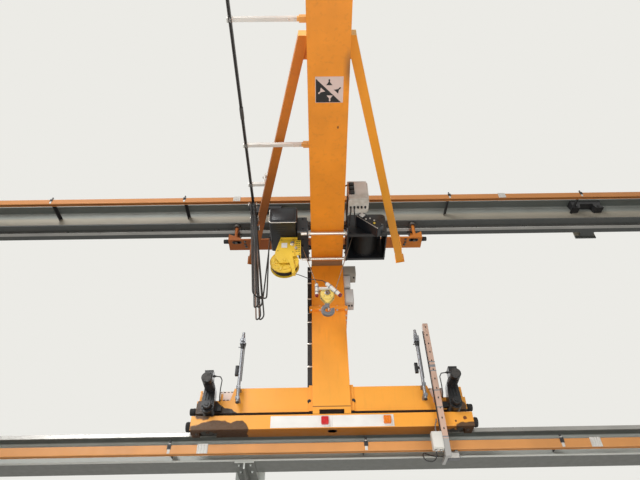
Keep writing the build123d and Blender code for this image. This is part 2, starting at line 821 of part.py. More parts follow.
# Guide roller beam: box with a pocket at each end, open below and behind
with BuildPart() as guide_roller_beam:
    span(
        (CRANE_X - ROLLER_BEAM_HALF, CRANE_X + ROLLER_BEAM_HALF),
        (MAST_FRONT, ROLLER_BEAM_REAR),
        (ROLLER_BEAM_BOTTOM, ROLLER_BEAM_TOP),
    )
    long_edges = guide_roller_beam.edges().filter_by(Axis.X)
    fillet(long_edges, 8)
    pocket_r = SIDE_ROLLER_R + POCKET_GAP
    pocket_top = LOW_TOP + POCKET_GAP
    for side in (-1, 1):
        roller_x = CRANE_X + side * SIDE_ROLLER_X
        rod(
            (roller_x, SIDE_ROLLER_Y, ROLLER_BEAM_BOTTOM),
            (roller_x, SIDE_ROLLER_Y, pocket_top),
            pocket_r,
            mode=Mode.SUBTRACT,
        )
        span(
            (roller_x - pocket_r, roller_x + pocket_r),
            (SIDE_ROLLER_Y, ROLLER_BEAM_REAR),
            (ROLLER_BEAM_BOTTOM, pocket_top),
            mode=Mode.SUBTRACT,
        )
        rod(
            (roller_x, SIDE_ROLLER_Y, LOW_TOP - STRIP_H - 2),
            (roller_x, SIDE_ROLLER_Y, pocket_top),
            SIDE_PIN_R,
        )
finish(guide_roller_beam, "guide_roller_beam")

with BuildPart() as lower_guide_rollers:
    for side in (-1, 1):
        roller(
            CRANE_X + side * SIDE_ROLLER_X,
            SIDE_ROLLER_Y,
            LOW_TOP - STRIP_H + (STRIP_H - SIDE_ROLLER_H) / 2,
            SIDE_ROLLER_R,
            SIDE_ROLLER_H,
            SIDE_PIN_R,
        )
    rims = lower_guide_rollers.edges().filter_by(GeomType.CIRCLE)
    chamfer([rim for rim in rims if abs(rim.radius - SIDE_ROLLER_R) < 0.1], 3)
finish(lower_guide_rollers, "lower_guide_rollers")


# Travel drives: flat gear case on the axle, motor on its top, terminal box above
def travel_drive(side):
    drive_x = CRANE_X + side * WHEEL_X
    with BuildSketch(Plane.XZ.offset(-BEAM_FRONT)) as case:
        with Locations((drive_x, WHEEL_Z)):
            Circle(DRIVE_LOW_R)
        with Locations((drive_x, DRIVE_TOP_Z)):
            Circle(DRIVE_TOP_R)
        make_hull()
    extrude(case.sketch, amount=BEAM_FRONT - DRIVE_FACE)
    rod((drive_x, DRIVE_FACE, WHEEL_Z), (drive_x, DRIVE_FACE - 40, WHEEL_Z), DRIVE_BOSS_R)
    rod((drive_x, DRIVE_FACE, DRIVE_TOP_Z), (drive_x, DRIVE_FACE - 18, DRIVE_TOP_Z), MOTOR_R + 7)
    rod((drive_x, DRIVE_FACE, DRIVE_TOP_Z), (drive_x, MOTOR_END, DRIVE_TOP_Z), MOTOR_R)
    span(
        (drive_x - TERMINAL_W / 2, drive_x + TERMINAL_W / 2),
        (DRIVE_FACE - 30 - TERMINAL_L, DRIVE_FACE - 30),
        (DRIVE_TOP_Z, DRIVE_TOP_Z + MOTOR_R + TERMINAL_H),
    )
    arm_x = drive_x - side * DRIVE_LOW_R
    span(
        low_high(arm_x - side * 60, arm_x + side * 20),
        (BEAM_FRONT - 40, BEAM_FRONT),
        (MAST_FOOT + 10, MAST_FOOT + 70),
    )


for side, name in ((-1, "travel_drive_left"), (1, "travel_drive_right")):
    with BuildPart() as one_drive:
        travel_drive(side)
    finish(one_drive, name)


# Rubber buffers on the ends of the three carriage beams
def buffer(side, start_x, y, z, radius, length):
    rod((start_x, y, z), (start_x + side * length, y, z), radius)


with BuildPart() as carriage_buffers:
    for side in (-1, 1):
        buffer(side, CRANE_X + side * BEAM_HALF, BUFFER_Y, MAST_FOOT + 70, BUFFER_R, BUFFER_L)
        buffer(
            side,
            CRANE_X + side * ROLLER_BEAM_HALF,
            (MAST_FRONT + ROLLER_BEAM_REAR) / 2,
            (ROLLER_BEAM_BOTTOM + ROLLER_BEAM_TOP) / 2,
            BIG_BUFFER_R,
            BIG_BUFFER_L,
        )
        buffer(
            side,
            CRANE_X + side * HEAD_HALF,
            UP_Y,
            HEAD_TOP + HEAD_END_H / 2,
            HEAD_BUFFER_R,
            BUFFER_L,
        )
    tips = (BEAM_HALF + BUFFER_L, ROLLER_BEAM_HALF + BIG_BUFFER_L, HEAD_HALF + BUFFER_L)
    rims = carriage_buffers.edges().filter_by(GeomType.CIRCLE)
    fillet([rim for rim in rims if min(abs(abs(rim.center().X - CRANE_X) - tip) for tip in tips) < 1], 8)
finish(carriage_buffers, "carriage_buffers")


# Sensor posts on the front of the travel beams
with BuildPart() as sensor_posts:
    for side in (-1, 1):
        post_x = CRANE_X + side * SENSOR_X
        rod((post_x, SENSOR_Y, SENSOR_LOW), (post_x, SENSOR_Y, SENSOR_TOP), SENSOR_R)
        for clamp_z in (SENSOR_LOW + 25, SENSOR_LOW + 150):
            span((post_x - 22, post_x + 22), (SENSOR_Y - 22, BEAM_FRONT), (clamp_z, clamp_z + 30))
        span(
            (post_x - 30, post_x + 30),
            (SENSOR_Y - 32, SENSOR_Y + 26),
            (SENSOR_TOP, SENSOR_TOP + 70),
        )
finish(sensor_posts, "sensor_posts")

# Collector post: square tube that carries the current collector down to the conductor bar
COLLECTOR_FACE = COLLECTOR_Y + COLLECTOR_W / 2
with BuildPart() as collector_post:
    post_x = CRANE_X + COLLECTOR_X
    half = COLLECTOR_W / 2
    span(
        (post_x - half, post_x + half),
        (COLLECTOR_Y - half, COLLECTOR_FACE),
        (COLLECTOR_LOW, COLLECTOR_TOP),
    )
    span(
        (post_x - half, post_x + half),
        (COLLECTOR_FACE, MAST_FRONT),
        (ROLLER_BEAM_TOP - 100, ROLLER_BEAM_TOP - 50),
    )
    span(
        (post_x - half, post_x + half),
        (COLLECTOR_FACE, BEAM_FRONT),
        (BEAM_LOW_TOP - 60, BEAM_LOW_TOP - 20),
    )
    span(
        (post_x - half, post_x - half + 30),
        (COLLECTOR_FACE, LOW_BAR_Y),
        (COLLECTOR_LOW, COLLECTOR_LOW + 30),
    )
finish(collector_post, "collector_post")

COLLECTOR_HEAD_X = CRANE_X + COLLECTOR_X + COLLECTOR_W / 2 + 1
with BuildPart() as current_collector:
    head_x = COLLECTOR_HEAD_X
    bar_bottom = LOW_BAR_Z - BAR_H / 2
    span(
        (head_x, head_x + 130),
        (LOW_BAR_Y - 26, LOW_BAR_Y + 26),
        (COLLECTOR_LOW + 50, bar_bottom - 26),
    )
    for end in (head_x + 12, head_x + 92):
        span((end, end + 26), (LOW_BAR_Y - 5, LOW_BAR_Y + 5), (bar_bottom - 26, bar_bottom + 20))
    span((head_x - 60, head_x + 10), (LOW_BAR_Y - 12, LOW_BAR_Y + 12), (COLLECTOR_LOW + 30, COLLECTOR_LOW + 50))
    span((head_x, head_x + 10), (LOW_BAR_Y - 12, LOW_BAR_Y + 12), (COLLECTOR_LOW + 30, COLLECTOR_LOW + 60))
finish(current_collector, "current_collector")

JUNCTION_X = CRANE_X + COLLECTOR_X - COLLECTOR_W / 2
GLAND_XS = (JUNCTION_X - 80, JUNCTION_X - 30)
GLAND_LOW = JUNCTION_Z[0] - 18
with BuildPart() as junction_box:
    span(
        (JUNCTION_X - JUNCTION_W, JUNCTION_X),
        (COLLECTOR_Y - JUNCTION_D / 2, COLLECTOR_Y + JUNCTION_D / 2),
        JUNCTION_Z,
    )
    fillet(junction_box.edges().filter_by(Axis.Y), 8)
    for gland_x in GLAND_XS:
        rod((gland_x, COLLECTOR_Y, JUNCTION_Z[0]), (gland_x, COLLECTOR_Y, GLAND_LOW), 11)
finish(junction_box, "junction_box")

# Lamp panel on the front of the guide roller beam
with BuildPart() as lamp_panel:
    span(
        (CRANE_X - PANEL_HALF, CRANE_X + PANEL_HALF),
        (MAST_FRONT - PANEL_T, MAST_FRONT),
        (PANEL_LOW + 2, PANEL_TOP),
    )
finish(lamp_panel, "lamp_panel")

LAMP_XS = (-75, PANEL_HALF - 69)
with BuildPart() as panel_lamps:
    for lamp_x in LAMP_XS:
        span(
            (CRANE_X + lamp_x - 38, CRANE_X + lamp_x + 38),
            (MAST_FRONT - PANEL_T - 34, MAST_FRONT - PANEL_T),
            (PANEL_LOW + 25, PANEL_TOP - 25),
        )
    fillet(panel_lamps.edges().filter_by(Axis.Y), 10)
finish(panel_lamps, "panel_lamps")

# Cabinets on the right side of the mast, cable duct on the left
with BuildPart() as mast_cabinets:
    mast_side = CRANE_X + MAST_W / 2
    for reach, depth, low_z, top_z in MAST_BOXES:
        span((mast_side, mast_side + reach), (MAST_BOX_Y, MAST_BOX_Y + depth), (low_z, top_z))
    fillet(mast_cabinets.edges().filter_by(Axis.Z), 6)
finish(mast_cabinets, "mast_cabinets")

with BuildPart() as cable_duct:
    duct_x = CRANE_X - MAST_W / 2
    duct_half = 30
    span(
        (duct_x - 55, duct_x),
        (MAST_FRONT + 50, MAST_FRONT + 50 + 2 * duct_half),
        (SPLICE_Z + SPLICE_T, JIB_UNDER - 5),
    )
    span(
        (duct_x - 55, duct_x),
        (MAST_FRONT + 50, MAST_FRONT + 50 + 2 * duct_half),
        (BEAM_TOP + JOINT_PLATE_LIP, SPLICE_Z - SPLICE_T),
    )
finish(cable_duct, "cable_duct")

# Festoon track on arms from the jib's web and from the left brace, with the cable saddles that run in it
with BuildPart() as festoon_arms:
    web_x = CRANE_X - JIB_BOX_W / 2
    arm_end = CRANE_X + TRACK_X - TRACK_ARM_END
    arm_z = (TRACK_TOP, TRACK_TOP + TRACK_ARM_W)
    foot_lip = (ARM_FOOT_W - TRACK_ARM_W) / 2
    for arm_y in TRACK_ARM_YS:
        span((arm_end, web_x), (arm_y - TRACK_ARM_W / 2, arm_y + TRACK_ARM_W / 2), arm_z)
        span(
            (web_x - ARM_FOOT_L, web_x),
            (arm_y - ARM_FOOT_W / 2, arm_y + ARM_FOOT_W / 2),
            (arm_z[0] - foot_lip, arm_z[1] + foot_lip),
        )
    plate_x = CRANE_X - brace_centre_x(BRACE_ARM_Y) - BRACE_HALF_X - BRACE_LUG_GAP
    short_y = (BRACE_ARM_Y - TRACK_ARM_W / 2, BRACE_ARM_Y + TRACK_ARM_W / 2)
    lug_low = BRACE_Z + (BRACE_H - TRACK_ARM_W) / 2
    span((arm_end, plate_x), short_y, arm_z)
    span((plate_x - BRACE_CAP_T, plate_x), short_y, (TRACK_TOP, lug_low + TRACK_ARM_W))
    lug = [(plate_x - BRACE_CAP_T, y) for y in short_y]
    lug += [(CRANE_X - brace_centre_x(y) - BRACE_HALF_X, y) for y in reversed(short_y)]
    plan_plate(lug, lug_low, TRACK_ARM_W)
finish(festoon_arms, "festoon_arms")

with BuildPart() as festoon_track:
    with BuildSketch(Plane.XZ.offset(-TRACK_REAR)) as track_section:
        with Locations((CRANE_X + TRACK_X, TRACK_LOW + TRACK_W / 2)):
            Rectangle(TRACK_W, TRACK_W)
            Rectangle(TRACK_W - 2 * TRACK_WALL, TRACK_W - 2 * TRACK_WALL, mode=Mode.SUBTRACT)
        with Locations((CRANE_X + TRACK_X, TRACK_LOW)):
            Rectangle(TRACK_SLOT, 4 * TRACK_WALL, mode=Mode.SUBTRACT)
    extrude(track_section.sketch, amount=TRACK_REAR - JIB_TIP)
finish(festoon_track, "festoon_track")

# Festoon saddles: a stem in the track's slot and a rounded saddle that the cables lie over
FESTOON_D = 16
FESTOON_OFFSETS = (-18, 18)
LOOP_R = 0.45 * LOOP_W
CLAMP_Y = -1240
SADDLE_YS = (CLAMP_Y - 1.5 * LOOP_W, CLAMP_Y - 3.5 * LOOP_W)


def track_stem(y, low_z):
    """Flat stem through the track's slot, with a crossbar that rests on its lips."""
    track_x = CRANE_X + TRACK_X
    lip_top = TRACK_LOW + TRACK_WALL
    span((track_x - 3, track_x + 3), (y - 15, y + 15), (low_z, lip_top))
    span((track_x - 10, track_x + 10), (y - 15, y + 15), (lip_top, lip_top + 5))


with BuildPart() as festoon_saddles:
    saddle_left = CRANE_X + TRACK_X - SADDLE_W / 2
    saddle_r = LOOP_R - FESTOON_D / 2 - 3 * SEAT
    for saddle_y in SADDLE_YS:
        with BuildSketch(Plane.YZ.offset(saddle_left)) as saddle_section:
            with Locations((saddle_y, LOOP_TOP - LOOP_R)):
                SlotCenterToCenter(LOOP_W - 2 * LOOP_R, 2 * saddle_r)
        extrude(saddle_section.sketch, amount=SADDLE_W)
        track_stem(saddle_y, LOOP_TOP - LOOP_R)
    span(
        (saddle_left, saddle_left + SADDLE_W),
        (CLAMP_Y - 20, CLAMP_Y + 20),
        (LOOP_TOP - 40, LOOP_TOP),
    )
    track_stem(CLAMP_Y, LOOP_TOP)
finish(festoon_saddles, "festoon_saddles")

# Stops for the trolley wheels on the jib's bottom flange
with BuildPart() as jib_stops:
    wheel_reach = TROLLEY_WHEEL_DY + TROLLEY_WHEEL_R + STOP_GAP
    rear_stop = TROLLEY_Y + wheel_reach
    front_stop = TROLLEY_Y - wheel_reach - TRAVEL_OUT
    for side in (-1, 1):
        web = CRANE_X + side * JIB_BOX_W / 2
        for stop_y in ((rear_stop, rear_stop + 30), (front_stop - 30, front_stop)):
            span(low_high(web + side * 5, web + side * 65), stop_y, (FLANGE_TOP, FLANGE_TOP + 90))
finish(jib_stops, "jib_stops")


# Trolley: two side frames joined by tie rods, wheels on the jib's bottom flange
TROLLEY_WHEEL_Z = FLANGE_TOP + TROLLEY_WHEEL_R + RUN_GAP
TROLLEY_WHEEL_YS = (TROLLEY_Y - TROLLEY_WHEEL_DY, TROLLEY_Y + TROLLEY_WHEEL_DY)
CABINET_FRONT = -1870
CABINET_REAR = -1660
CABINET_W = 232
CABINET_Z = (2450, 2780)
with BuildPart() as side_frames:
    for side in (-1, 1):
        inner_x = CRANE_X + side * (SIDE_X - SIDE_T / 2)
        plate_low_x = low_high(inner_x, inner_x + side * SIDE_T)[0]
        outline = [
            (SIDE_FRONT, SIDE_LOW + 60),
            (SIDE_FRONT, SIDE_TOP - 80),
            (SIDE_FRONT + 80, SIDE_TOP),
            (SIDE_REAR - 80, SIDE_TOP),
            (SIDE_REAR, SIDE_TOP - 80),
            (SIDE_REAR, SIDE_LOW + 60),
            (SIDE_REAR - 60, SIDE_LOW),
            (SIDE_FRONT + 60, SIDE_LOW),
        ]
        side_plate(outline, plate_low_x, SIDE_T)
        for wheel_y in TROLLEY_WHEEL_YS:
            rod(
                (inner_x, wheel_y, TROLLEY_WHEEL_Z),
                (inner_x - side * (TROLLEY_WHEEL_W + 46), wheel_y, TROLLEY_WHEEL_Z),
                18,
            )
    arm_x = CRANE_X + SIDE_X - SIDE_T / 2
    span((arm_x, arm_x + SIDE_T), (CABINET_FRONT + 30, SIDE_FRONT), (CABINET_Z[0] + 30, CABINET_Z[0] + 110))
finish(side_frames, "side_frames")

with BuildPart() as tie_rods:
    rod_half = SIDE_X - SIDE_T / 2
    for rod_y in ROD_YS:
        rod((CRANE_X - rod_half, rod_y, ROD_Z), (CRANE_X + rod_half, rod_y, ROD_Z), ROD_R)
finish(tie_rods, "tie_rods")

with BuildPart() as trolley_wheels:
    for side in (-1, 1):
        outer_x = CRANE_X + side * (SIDE_X - SIDE_T / 2 - 46)
        far_x = outer_x - side * TROLLEY_WHEEL_W
        for wheel_y in TROLLEY_WHEEL_YS:
            rod((outer_x, wheel_y, TROLLEY_WHEEL_Z), (far_x, wheel_y, TROLLEY_WHEEL_Z), TROLLEY_WHEEL_R)
            rod(
                (outer_x, wheel_y, TROLLEY_WHEEL_Z),
                (far_x, wheel_y, TROLLEY_WHEEL_Z),
                18 + BORE_GAP,
                mode=Mode.SUBTRACT,
            )
    rims = trolley_wheels.edges().filter_by(GeomType.CIRCLE)
    chamfer([rim for rim in rims if abs(rim.radius - TROLLEY_WHEEL_R) < 0.1], 4)
finish(trolley_wheels, "trolley_wheels")

# Drum housing: hood over the drum, open below, closed by a plate at each end
HOOD_X = (CRANE_X + SIDE_X + SIDE_T / 2, CRANE_X + HOOD_RIGHT)
HOOD_Z = (2350, 2705)
HOOD_WALL = 14
HOOD_END_T = 38
with BuildPart() as drum_housing:
    with BuildSketch(Plane.XZ.offset(-(DRUM_REAR + HOOD_END_T + 7))) as hood:
        with Locations((sum(HOOD_X) / 2, sum(HOOD_Z) / 2)):
            Rectangle(HOOD_X[1] - HOOD_X[0], HOOD_Z[1] - HOOD_Z[0])
        fillet(hood.vertices().group_by(Axis.Y)[-1], 60)
    hood_length = DRUM_REAR - DRUM_FRONT + 2 * (HOOD_END_T + 7)
    extrude(hood.sketch, amount=hood_length)
    span(
        (HOOD_X[0] + HOOD_WALL, HOOD_X[1] - HOOD_WALL),
        (DRUM_FRONT - 7, DRUM_REAR + 7),
        (HOOD_Z[0], HOOD_Z[1] - HOOD_WALL),
        mode=Mode.SUBTRACT,
    )
    rod(
        (CRANE_X + DRUM_X, DRUM_FRONT - 7 - HOOD_END_T, DRUM_Z),
        (CRANE_X + DRUM_X, DRUM_REAR + 7 + HOOD_END_T, DRUM_Z),
        AXLE_R + BORE_GAP,
        mode=Mode.SUBTRACT,
    )
finish(drum_housing, "drum_housing")

with BuildPart() as hoist_drum:
    drum_axle = Axis((CRANE_X + DRUM_X, 0, DRUM_Z), (0, 1, 0))
    drum_plane = Plane(origin=(CRANE_X + DRUM_X, 0, DRUM_Z), x_dir=(0, 1, 0), z_dir=(1, 0, 0))
    with BuildSketch(drum_plane) as drum_section:
        with BuildLine():
            Polyline(
                (DRUM_FRONT - 7 - HOOD_END_T, 0),
                (DRUM_FRONT - 7 - HOOD_END_T, AXLE_R),
                (DRUM_FRONT, AXLE_R),
                (DRUM_FRONT, DRUM_FLANGE_R),
                (DRUM_FRONT + 12, DRUM_FLANGE_R),
                (DRUM_FRONT + 12, DRUM_R),
                (DRUM_REAR - 12, DRUM_R),
                (DRUM_REAR - 12, DRUM_FLANGE_R),
                (DRUM_REAR, DRUM_FLANGE_R),
                (DRUM_REAR, AXLE_R),
                (DRUM_REAR + 7 + HOOD_END_T, AXLE_R),
                (DRUM_REAR + 7 + HOOD_END_T, 0),
                close=True,
            )
        make_face()
    revolve(drum_section.sketch, axis=drum_axle)
finish(hoist_drum, "hoist_drum")

# Tilted control box on the front of the drum housing
CONTROL_X = 518
CONTROL_Z = 2458
CONTROL_D = 140
CONTROL_L = 346
CONTROL_H = 113
CONTROL_TILT = 43
with BuildPart() as control_box:
    control_rear = DRUM_FRONT - 7 - HOOD_END_T
    control_plane = Plane(
        origin=(CRANE_X + CONTROL_X, control_rear, CONTROL_Z),
        x_dir=(cos(radians(CONTROL_TILT)), 0, -sin(radians(CONTROL_TILT))),
        z_dir=(0, -1, 0),
    )
    with BuildSketch(control_plane) as control_face:
        RectangleRounded(CONTROL_L, CONTROL_H, 10)
    extrude(control_face.sketch, amount=CONTROL_D)
    chamfer(control_box.faces().sort_by(Axis.Y)[0].edges(), 5)
finish(control_box, "control_box")

with BuildPart() as electrical_cabinet:
    cabinet_left = CRANE_X + SIDE_X + SIDE_T / 2
    span((cabinet_left, cabinet_left + CABINET_W), (CABINET_FRONT, CABINET_REAR), CABINET_Z)
    fillet(electrical_cabinet.edges().filter_by(Axis.Z), 8)
finish(electrical_cabinet, "electrical_cabinet")

# Hoist gear case between the left side frame and the motor cover
GEAR_X = (CRANE_X + COVER_RIGHT, CRANE_X - SIDE_X - SIDE_T / 2)
GEAR_Y = (-1480, -960)
GEAR_LOW = 2330
GEAR_TOP = 2600
with BuildPart() as hoist_gear_case:
    span(GEAR_X, GEAR_Y, (GEAR_LOW, GEAR_TOP))
    fillet(hoist_gear_case.edges().filter_by(Axis.X), 40)
finish(hoist_gear_case, "hoist_gear_case")

TERMINAL_X = COVER_LEFT - 22
TERMINAL_Y = -1200
TERMINAL_Z = 2480
TERMINAL_TAIL = 90
with BuildPart() as motor_cover:
    span(
        (CRANE_X + COVER_LEFT, CRANE_X + COVER_RIGHT),
        (COVER_FRONT, COVER_REAR),
        (COVER_LOW, COVER_TOP),
    )
    fillet(motor_cover.edges().filter_by(Axis.Y), 28)
    fillet(motor_cover.faces().sort_by(Axis.Y)[0].edges(), 14)
    span(
        (CRANE_X + TERMINAL_X - 14, CRANE_X + COVER_LEFT + 4),
        (TERMINAL_Y - 34, TERMINAL_Y + 34),
        (TERMINAL_Z, TERMINAL_Z + 60),
    )
finish(motor_cover, "motor_cover")

# Spring cable reel: two discs and a wound hub, on an axle in its carrier plate
CARRIER_X = (CRANE_X + REEL_X - CARRIER_LEFT, CRANE_X + REEL_X + CARRIER_RIGHT)
CARRIER_TOP_X = CRANE_X + COVER_RIGHT - 4
CARRIER_LOW = 2060
CARRIER_T = 10
REEL_AXLE_R = 20
REEL_HUB_R = 118
DISC_T = 6
CARRIER_REAR = REEL_FRONT - 20
GUIDE_TIP = (CRANE_X + REEL_X + GUIDE_DX, REEL_FRONT + 5, REEL_Z - GUIDE_DZ)
with BuildPart() as reel_carrier:
    plate_outline = [
        (CARRIER_X[0], CARRIER_LOW + 70),
        (CARRIER_X[0] + 60, COVER_LOW),
        (CARRIER_TOP_X, COVER_LOW),
        (CARRIER_TOP_X, GEAR_LOW - 5),
        (CARRIER_X[1], GEAR_LOW - 5),
        (CARRIER_X[1], CARRIER_LOW + 30),
        (CARRIER_X[1] - 95, CARRIER_LOW),
        (CARRIER_X[1] - 60, GUIDE_TIP[2] + 40),
        (CARRIER_X[1] - 70, GUIDE_TIP[2] - 12),
        (CARRIER_X[1] - 100, GUIDE_TIP[2] - 12),
        (CARRIER_X[1] - 100, GUIDE_TIP[2] + 40),
        (CRANE_X + REEL_X + 60, REEL_Z - 40),
        (CRANE_X + REEL_X - 60, REEL_Z - 40),
        (CARRIER_X[0], CARRIER_LOW),
    ]
    front_plate(plate_outline, CARRIER_REAR, CARRIER_T)
    span((CARRIER_X[0] + 60, CARRIER_TOP_X), (CARRIER_REAR, REEL_REAR + 25), (COVER_LOW - CARRIER_T, COVER_LOW))
    slotted_low = REEL_Z + REEL_R - 60
    span((CARRIER_X[1] - 12, CARRIER_X[1]), (CARRIER_REAR, REEL_REAR - 10), (slotted_low, GEAR_LOW - 5))
    rod(
        (CRANE_X + REEL_X, CARRIER_REAR, REEL_Z),
        (CRANE_X + REEL_X, REEL_REAR + 12, REEL_Z),
        REEL_AXLE_R,
    )
    span(
        (GUIDE_TIP[0] - 22, GUIDE_TIP[0] + 22),
        (CARRIER_REAR, GUIDE_TIP[1] + 22),
        (GUIDE_TIP[2] - 12, GUIDE_TIP[2] + 30),
    )
finish(reel_carrier, "reel_carrier")

with BuildPart() as cable_reel:
    reel_axis = Axis((CRANE_X + REEL_X, 0, REEL_Z), (0, 1, 0))
    reel_plane = Plane(origin=(CRANE_X + REEL_X, 0, REEL_Z), x_dir=(0, 1, 0), z_dir=(1, 0, 0))
    bore_r = REEL_AXLE_R + BORE_GAP
    with BuildSketch(reel_plane) as reel_section:
        with BuildLine():
            Polyline(
                (REEL_FRONT, bore_r),
                (REEL_FRONT, REEL_R),
                (REEL_FRONT + DISC_T, REEL_R),
                (REEL_FRONT + 2 * DISC_T, REEL_HUB_R),
                (REEL_REAR - 2 * DISC_T, REEL_HUB_R),
                (REEL_REAR - DISC_T, REEL_R),
                (REEL_REAR, REEL_R),
                (REEL_REAR, bore_r),
                close=True,
            )
        make_face()
    revolve(reel_section.sketch, axis=reel_axis)
finish(cable_reel, "cable_reel")

# Rope falls: straight from the sheave up to the drum, and mirrored up to the gear case
BLOCK_X = CRANE_X + HOOK_X
ROPE_PITCH_R = SHEAVE_R - 4
DRUM_PITCH_R = DRUM_R + ROPE_R + RUN_GAP
reach_x = CRANE_X + DRUM_X - BLOCK_X
reach_z = DRUM_Z - BLOCK_Z
centre_angle = atan2(reach_x, reach_z)
FALL_ANGLE = centre_angle - asin((ROPE_PITCH_R + DRUM_PITCH_R) / hypot(reach_x, reach_z))
fall_start = (
    BLOCK_X + ROPE_PITCH_R * cos(FALL_ANGLE),
    TROLLEY_Y,
    BLOCK_Z - ROPE_PITCH_R * sin(FALL_ANGLE),
)


def fall_point(side, z):
    """Point on a rope fall at height z."""
    slant = (z - fall_start[2]) * tan(FALL_ANGLE)
    return (BLOCK_X + side * (fall_start[0] - BLOCK_X + slant), TROLLEY_Y, z)


with BuildPart() as rope_falls:
    for side, top_z in ((1, DRUM_Z), (-1, GEAR_LOW - 2)):
        rod(fall_point(side, fall_start[2]), fall_point(side, top_z), ROPE_R)
finish(rope_falls, "rope_falls")

# Hook block: two domed cheeks on the sheave's axle, with the crosshead between their lugs
CHEEK_GAP = 17
LUG_T = 12
LUG_R = 26
CROSSHEAD_Z = (BLOCK_Z - SHEAVE_R - 44, BLOCK_Z - SHEAVE_R - 6)
LUG_LOW = sum(CROSSHEAD_Z) / 2 - LUG_R
with BuildPart() as block_body:
    for side in (-1, 1):
        inner_y = TROLLEY_Y + side * CHEEK_GAP
        lug_rear = inner_y if side < 0 else inner_y + LUG_T
        with BuildSketch(Plane.XZ.offset(-lug_rear)) as lug:
            with Locations((BLOCK_X, BLOCK_Z)):
                Circle(CHEEK_R)
            with Locations((BLOCK_X, sum(CROSSHEAD_Z) / 2)):
                Circle(LUG_R)
            make_hull()
        extrude(lug.sketch, amount=LUG_T)
        rod((BLOCK_X, inner_y, BLOCK_Z), (BLOCK_X, inner_y + side * CHEEK_T, BLOCK_Z), CHEEK_R - 4)
    domes = block_body.edges().filter_by(GeomType.CIRCLE)
    domes = [
        rim
        for rim in domes
        if abs(rim.radius - CHEEK_R + 4) < 0.1
        and abs(rim.center().Y - TROLLEY_Y) > CHEEK_GAP + LUG_T + 1
    ]
    fillet(domes, 10)
    rod(
        (BLOCK_X, TROLLEY_Y - CHEEK_GAP - CHEEK_T - 6, BLOCK_Z),
        (BLOCK_X, TROLLEY_Y + CHEEK_GAP + CHEEK_T + 6, BLOCK_Z),
        AXLE_R,
    )
    for side in (-1, 1):
        cap_y = TROLLEY_Y + side * (CHEEK_GAP + CHEEK_T)
        rod((BLOCK_X, cap_y, BLOCK_Z), (BLOCK_X, cap_y + side * 6, BLOCK_Z), BLOCK_AXLE_R)
    span((BLOCK_X - 28, BLOCK_X + 28), (TROLLEY_Y - CHEEK_GAP, TROLLEY_Y + CHEEK_GAP), CROSSHEAD_Z)
    rod(
        (BLOCK_X, TROLLEY_Y, CROSSHEAD_Z[0]),
        (BLOCK_X, TROLLEY_Y, CROSSHEAD_Z[1]),
        HOOK_SHANK_R + BORE_GAP,
        mode=Mode.SUBTRACT,
    )
finish(block_body, "block_body")

with BuildPart() as rope_sheave:
    sheave_axis = Axis((BLOCK_X, TROLLEY_Y, BLOCK_Z), (0, 1, 0))
    sheave_plane = Plane(origin=(BLOCK_X, TROLLEY_Y, BLOCK_Z), x_dir=(0, 1, 0), z_dir=(1, 0, 0))
    groove_floor = ROPE_PITCH_R - ROPE_R - RUN_GAP
    with BuildSketch(sheave_plane) as sheave_section:
        with BuildLine():
            Polyline(
                (-14, AXLE_R + BORE_GAP),
                (-14, SHEAVE_R),
                (-10, SHEAVE_R),
                (-6, groove_floor),
                (6, groove_floor),
                (10, SHEAVE_R),
                (14, SHEAVE_R),
                (14, AXLE_R + BORE_GAP),
                close=True,
            )
        make_face()
    revolve(sheave_section.sketch, axis=sheave_axis)
finish(rope_sheave, "rope_sheave")

# Signal lamps on a strap across the front cheek
LAMP_Y = TROLLEY_Y - CHEEK_GAP - CHEEK_T - 28
RIGHT_LAMP = ((CRANE_X - 24, 1666), (CRANE_X + 116, 1507))
LEFT_LAMP = ((CRANE_X - 140, 1658), (CRANE_X - 140, 1508))
with BuildPart() as block_lamps:
    for (start_x, start_z), (end_x, end_z) in (RIGHT_LAMP, LEFT_LAMP):
        lamp_r = 24 if start_x != end_x else 19
        rod((start_x, LAMP_Y, start_z), (end_x, LAMP_Y, end_z), lamp_r)
    span(
        (LEFT_LAMP[0][0], BLOCK_X + 50),
        (LAMP_Y, TROLLEY_Y - CHEEK_GAP - CHEEK_T),
        (BLOCK_Z + BLOCK_AXLE_R + 7, BLOCK_Z + BLOCK_AXLE_R + 29),
    )
finish(block_lamps, "block_lamps")

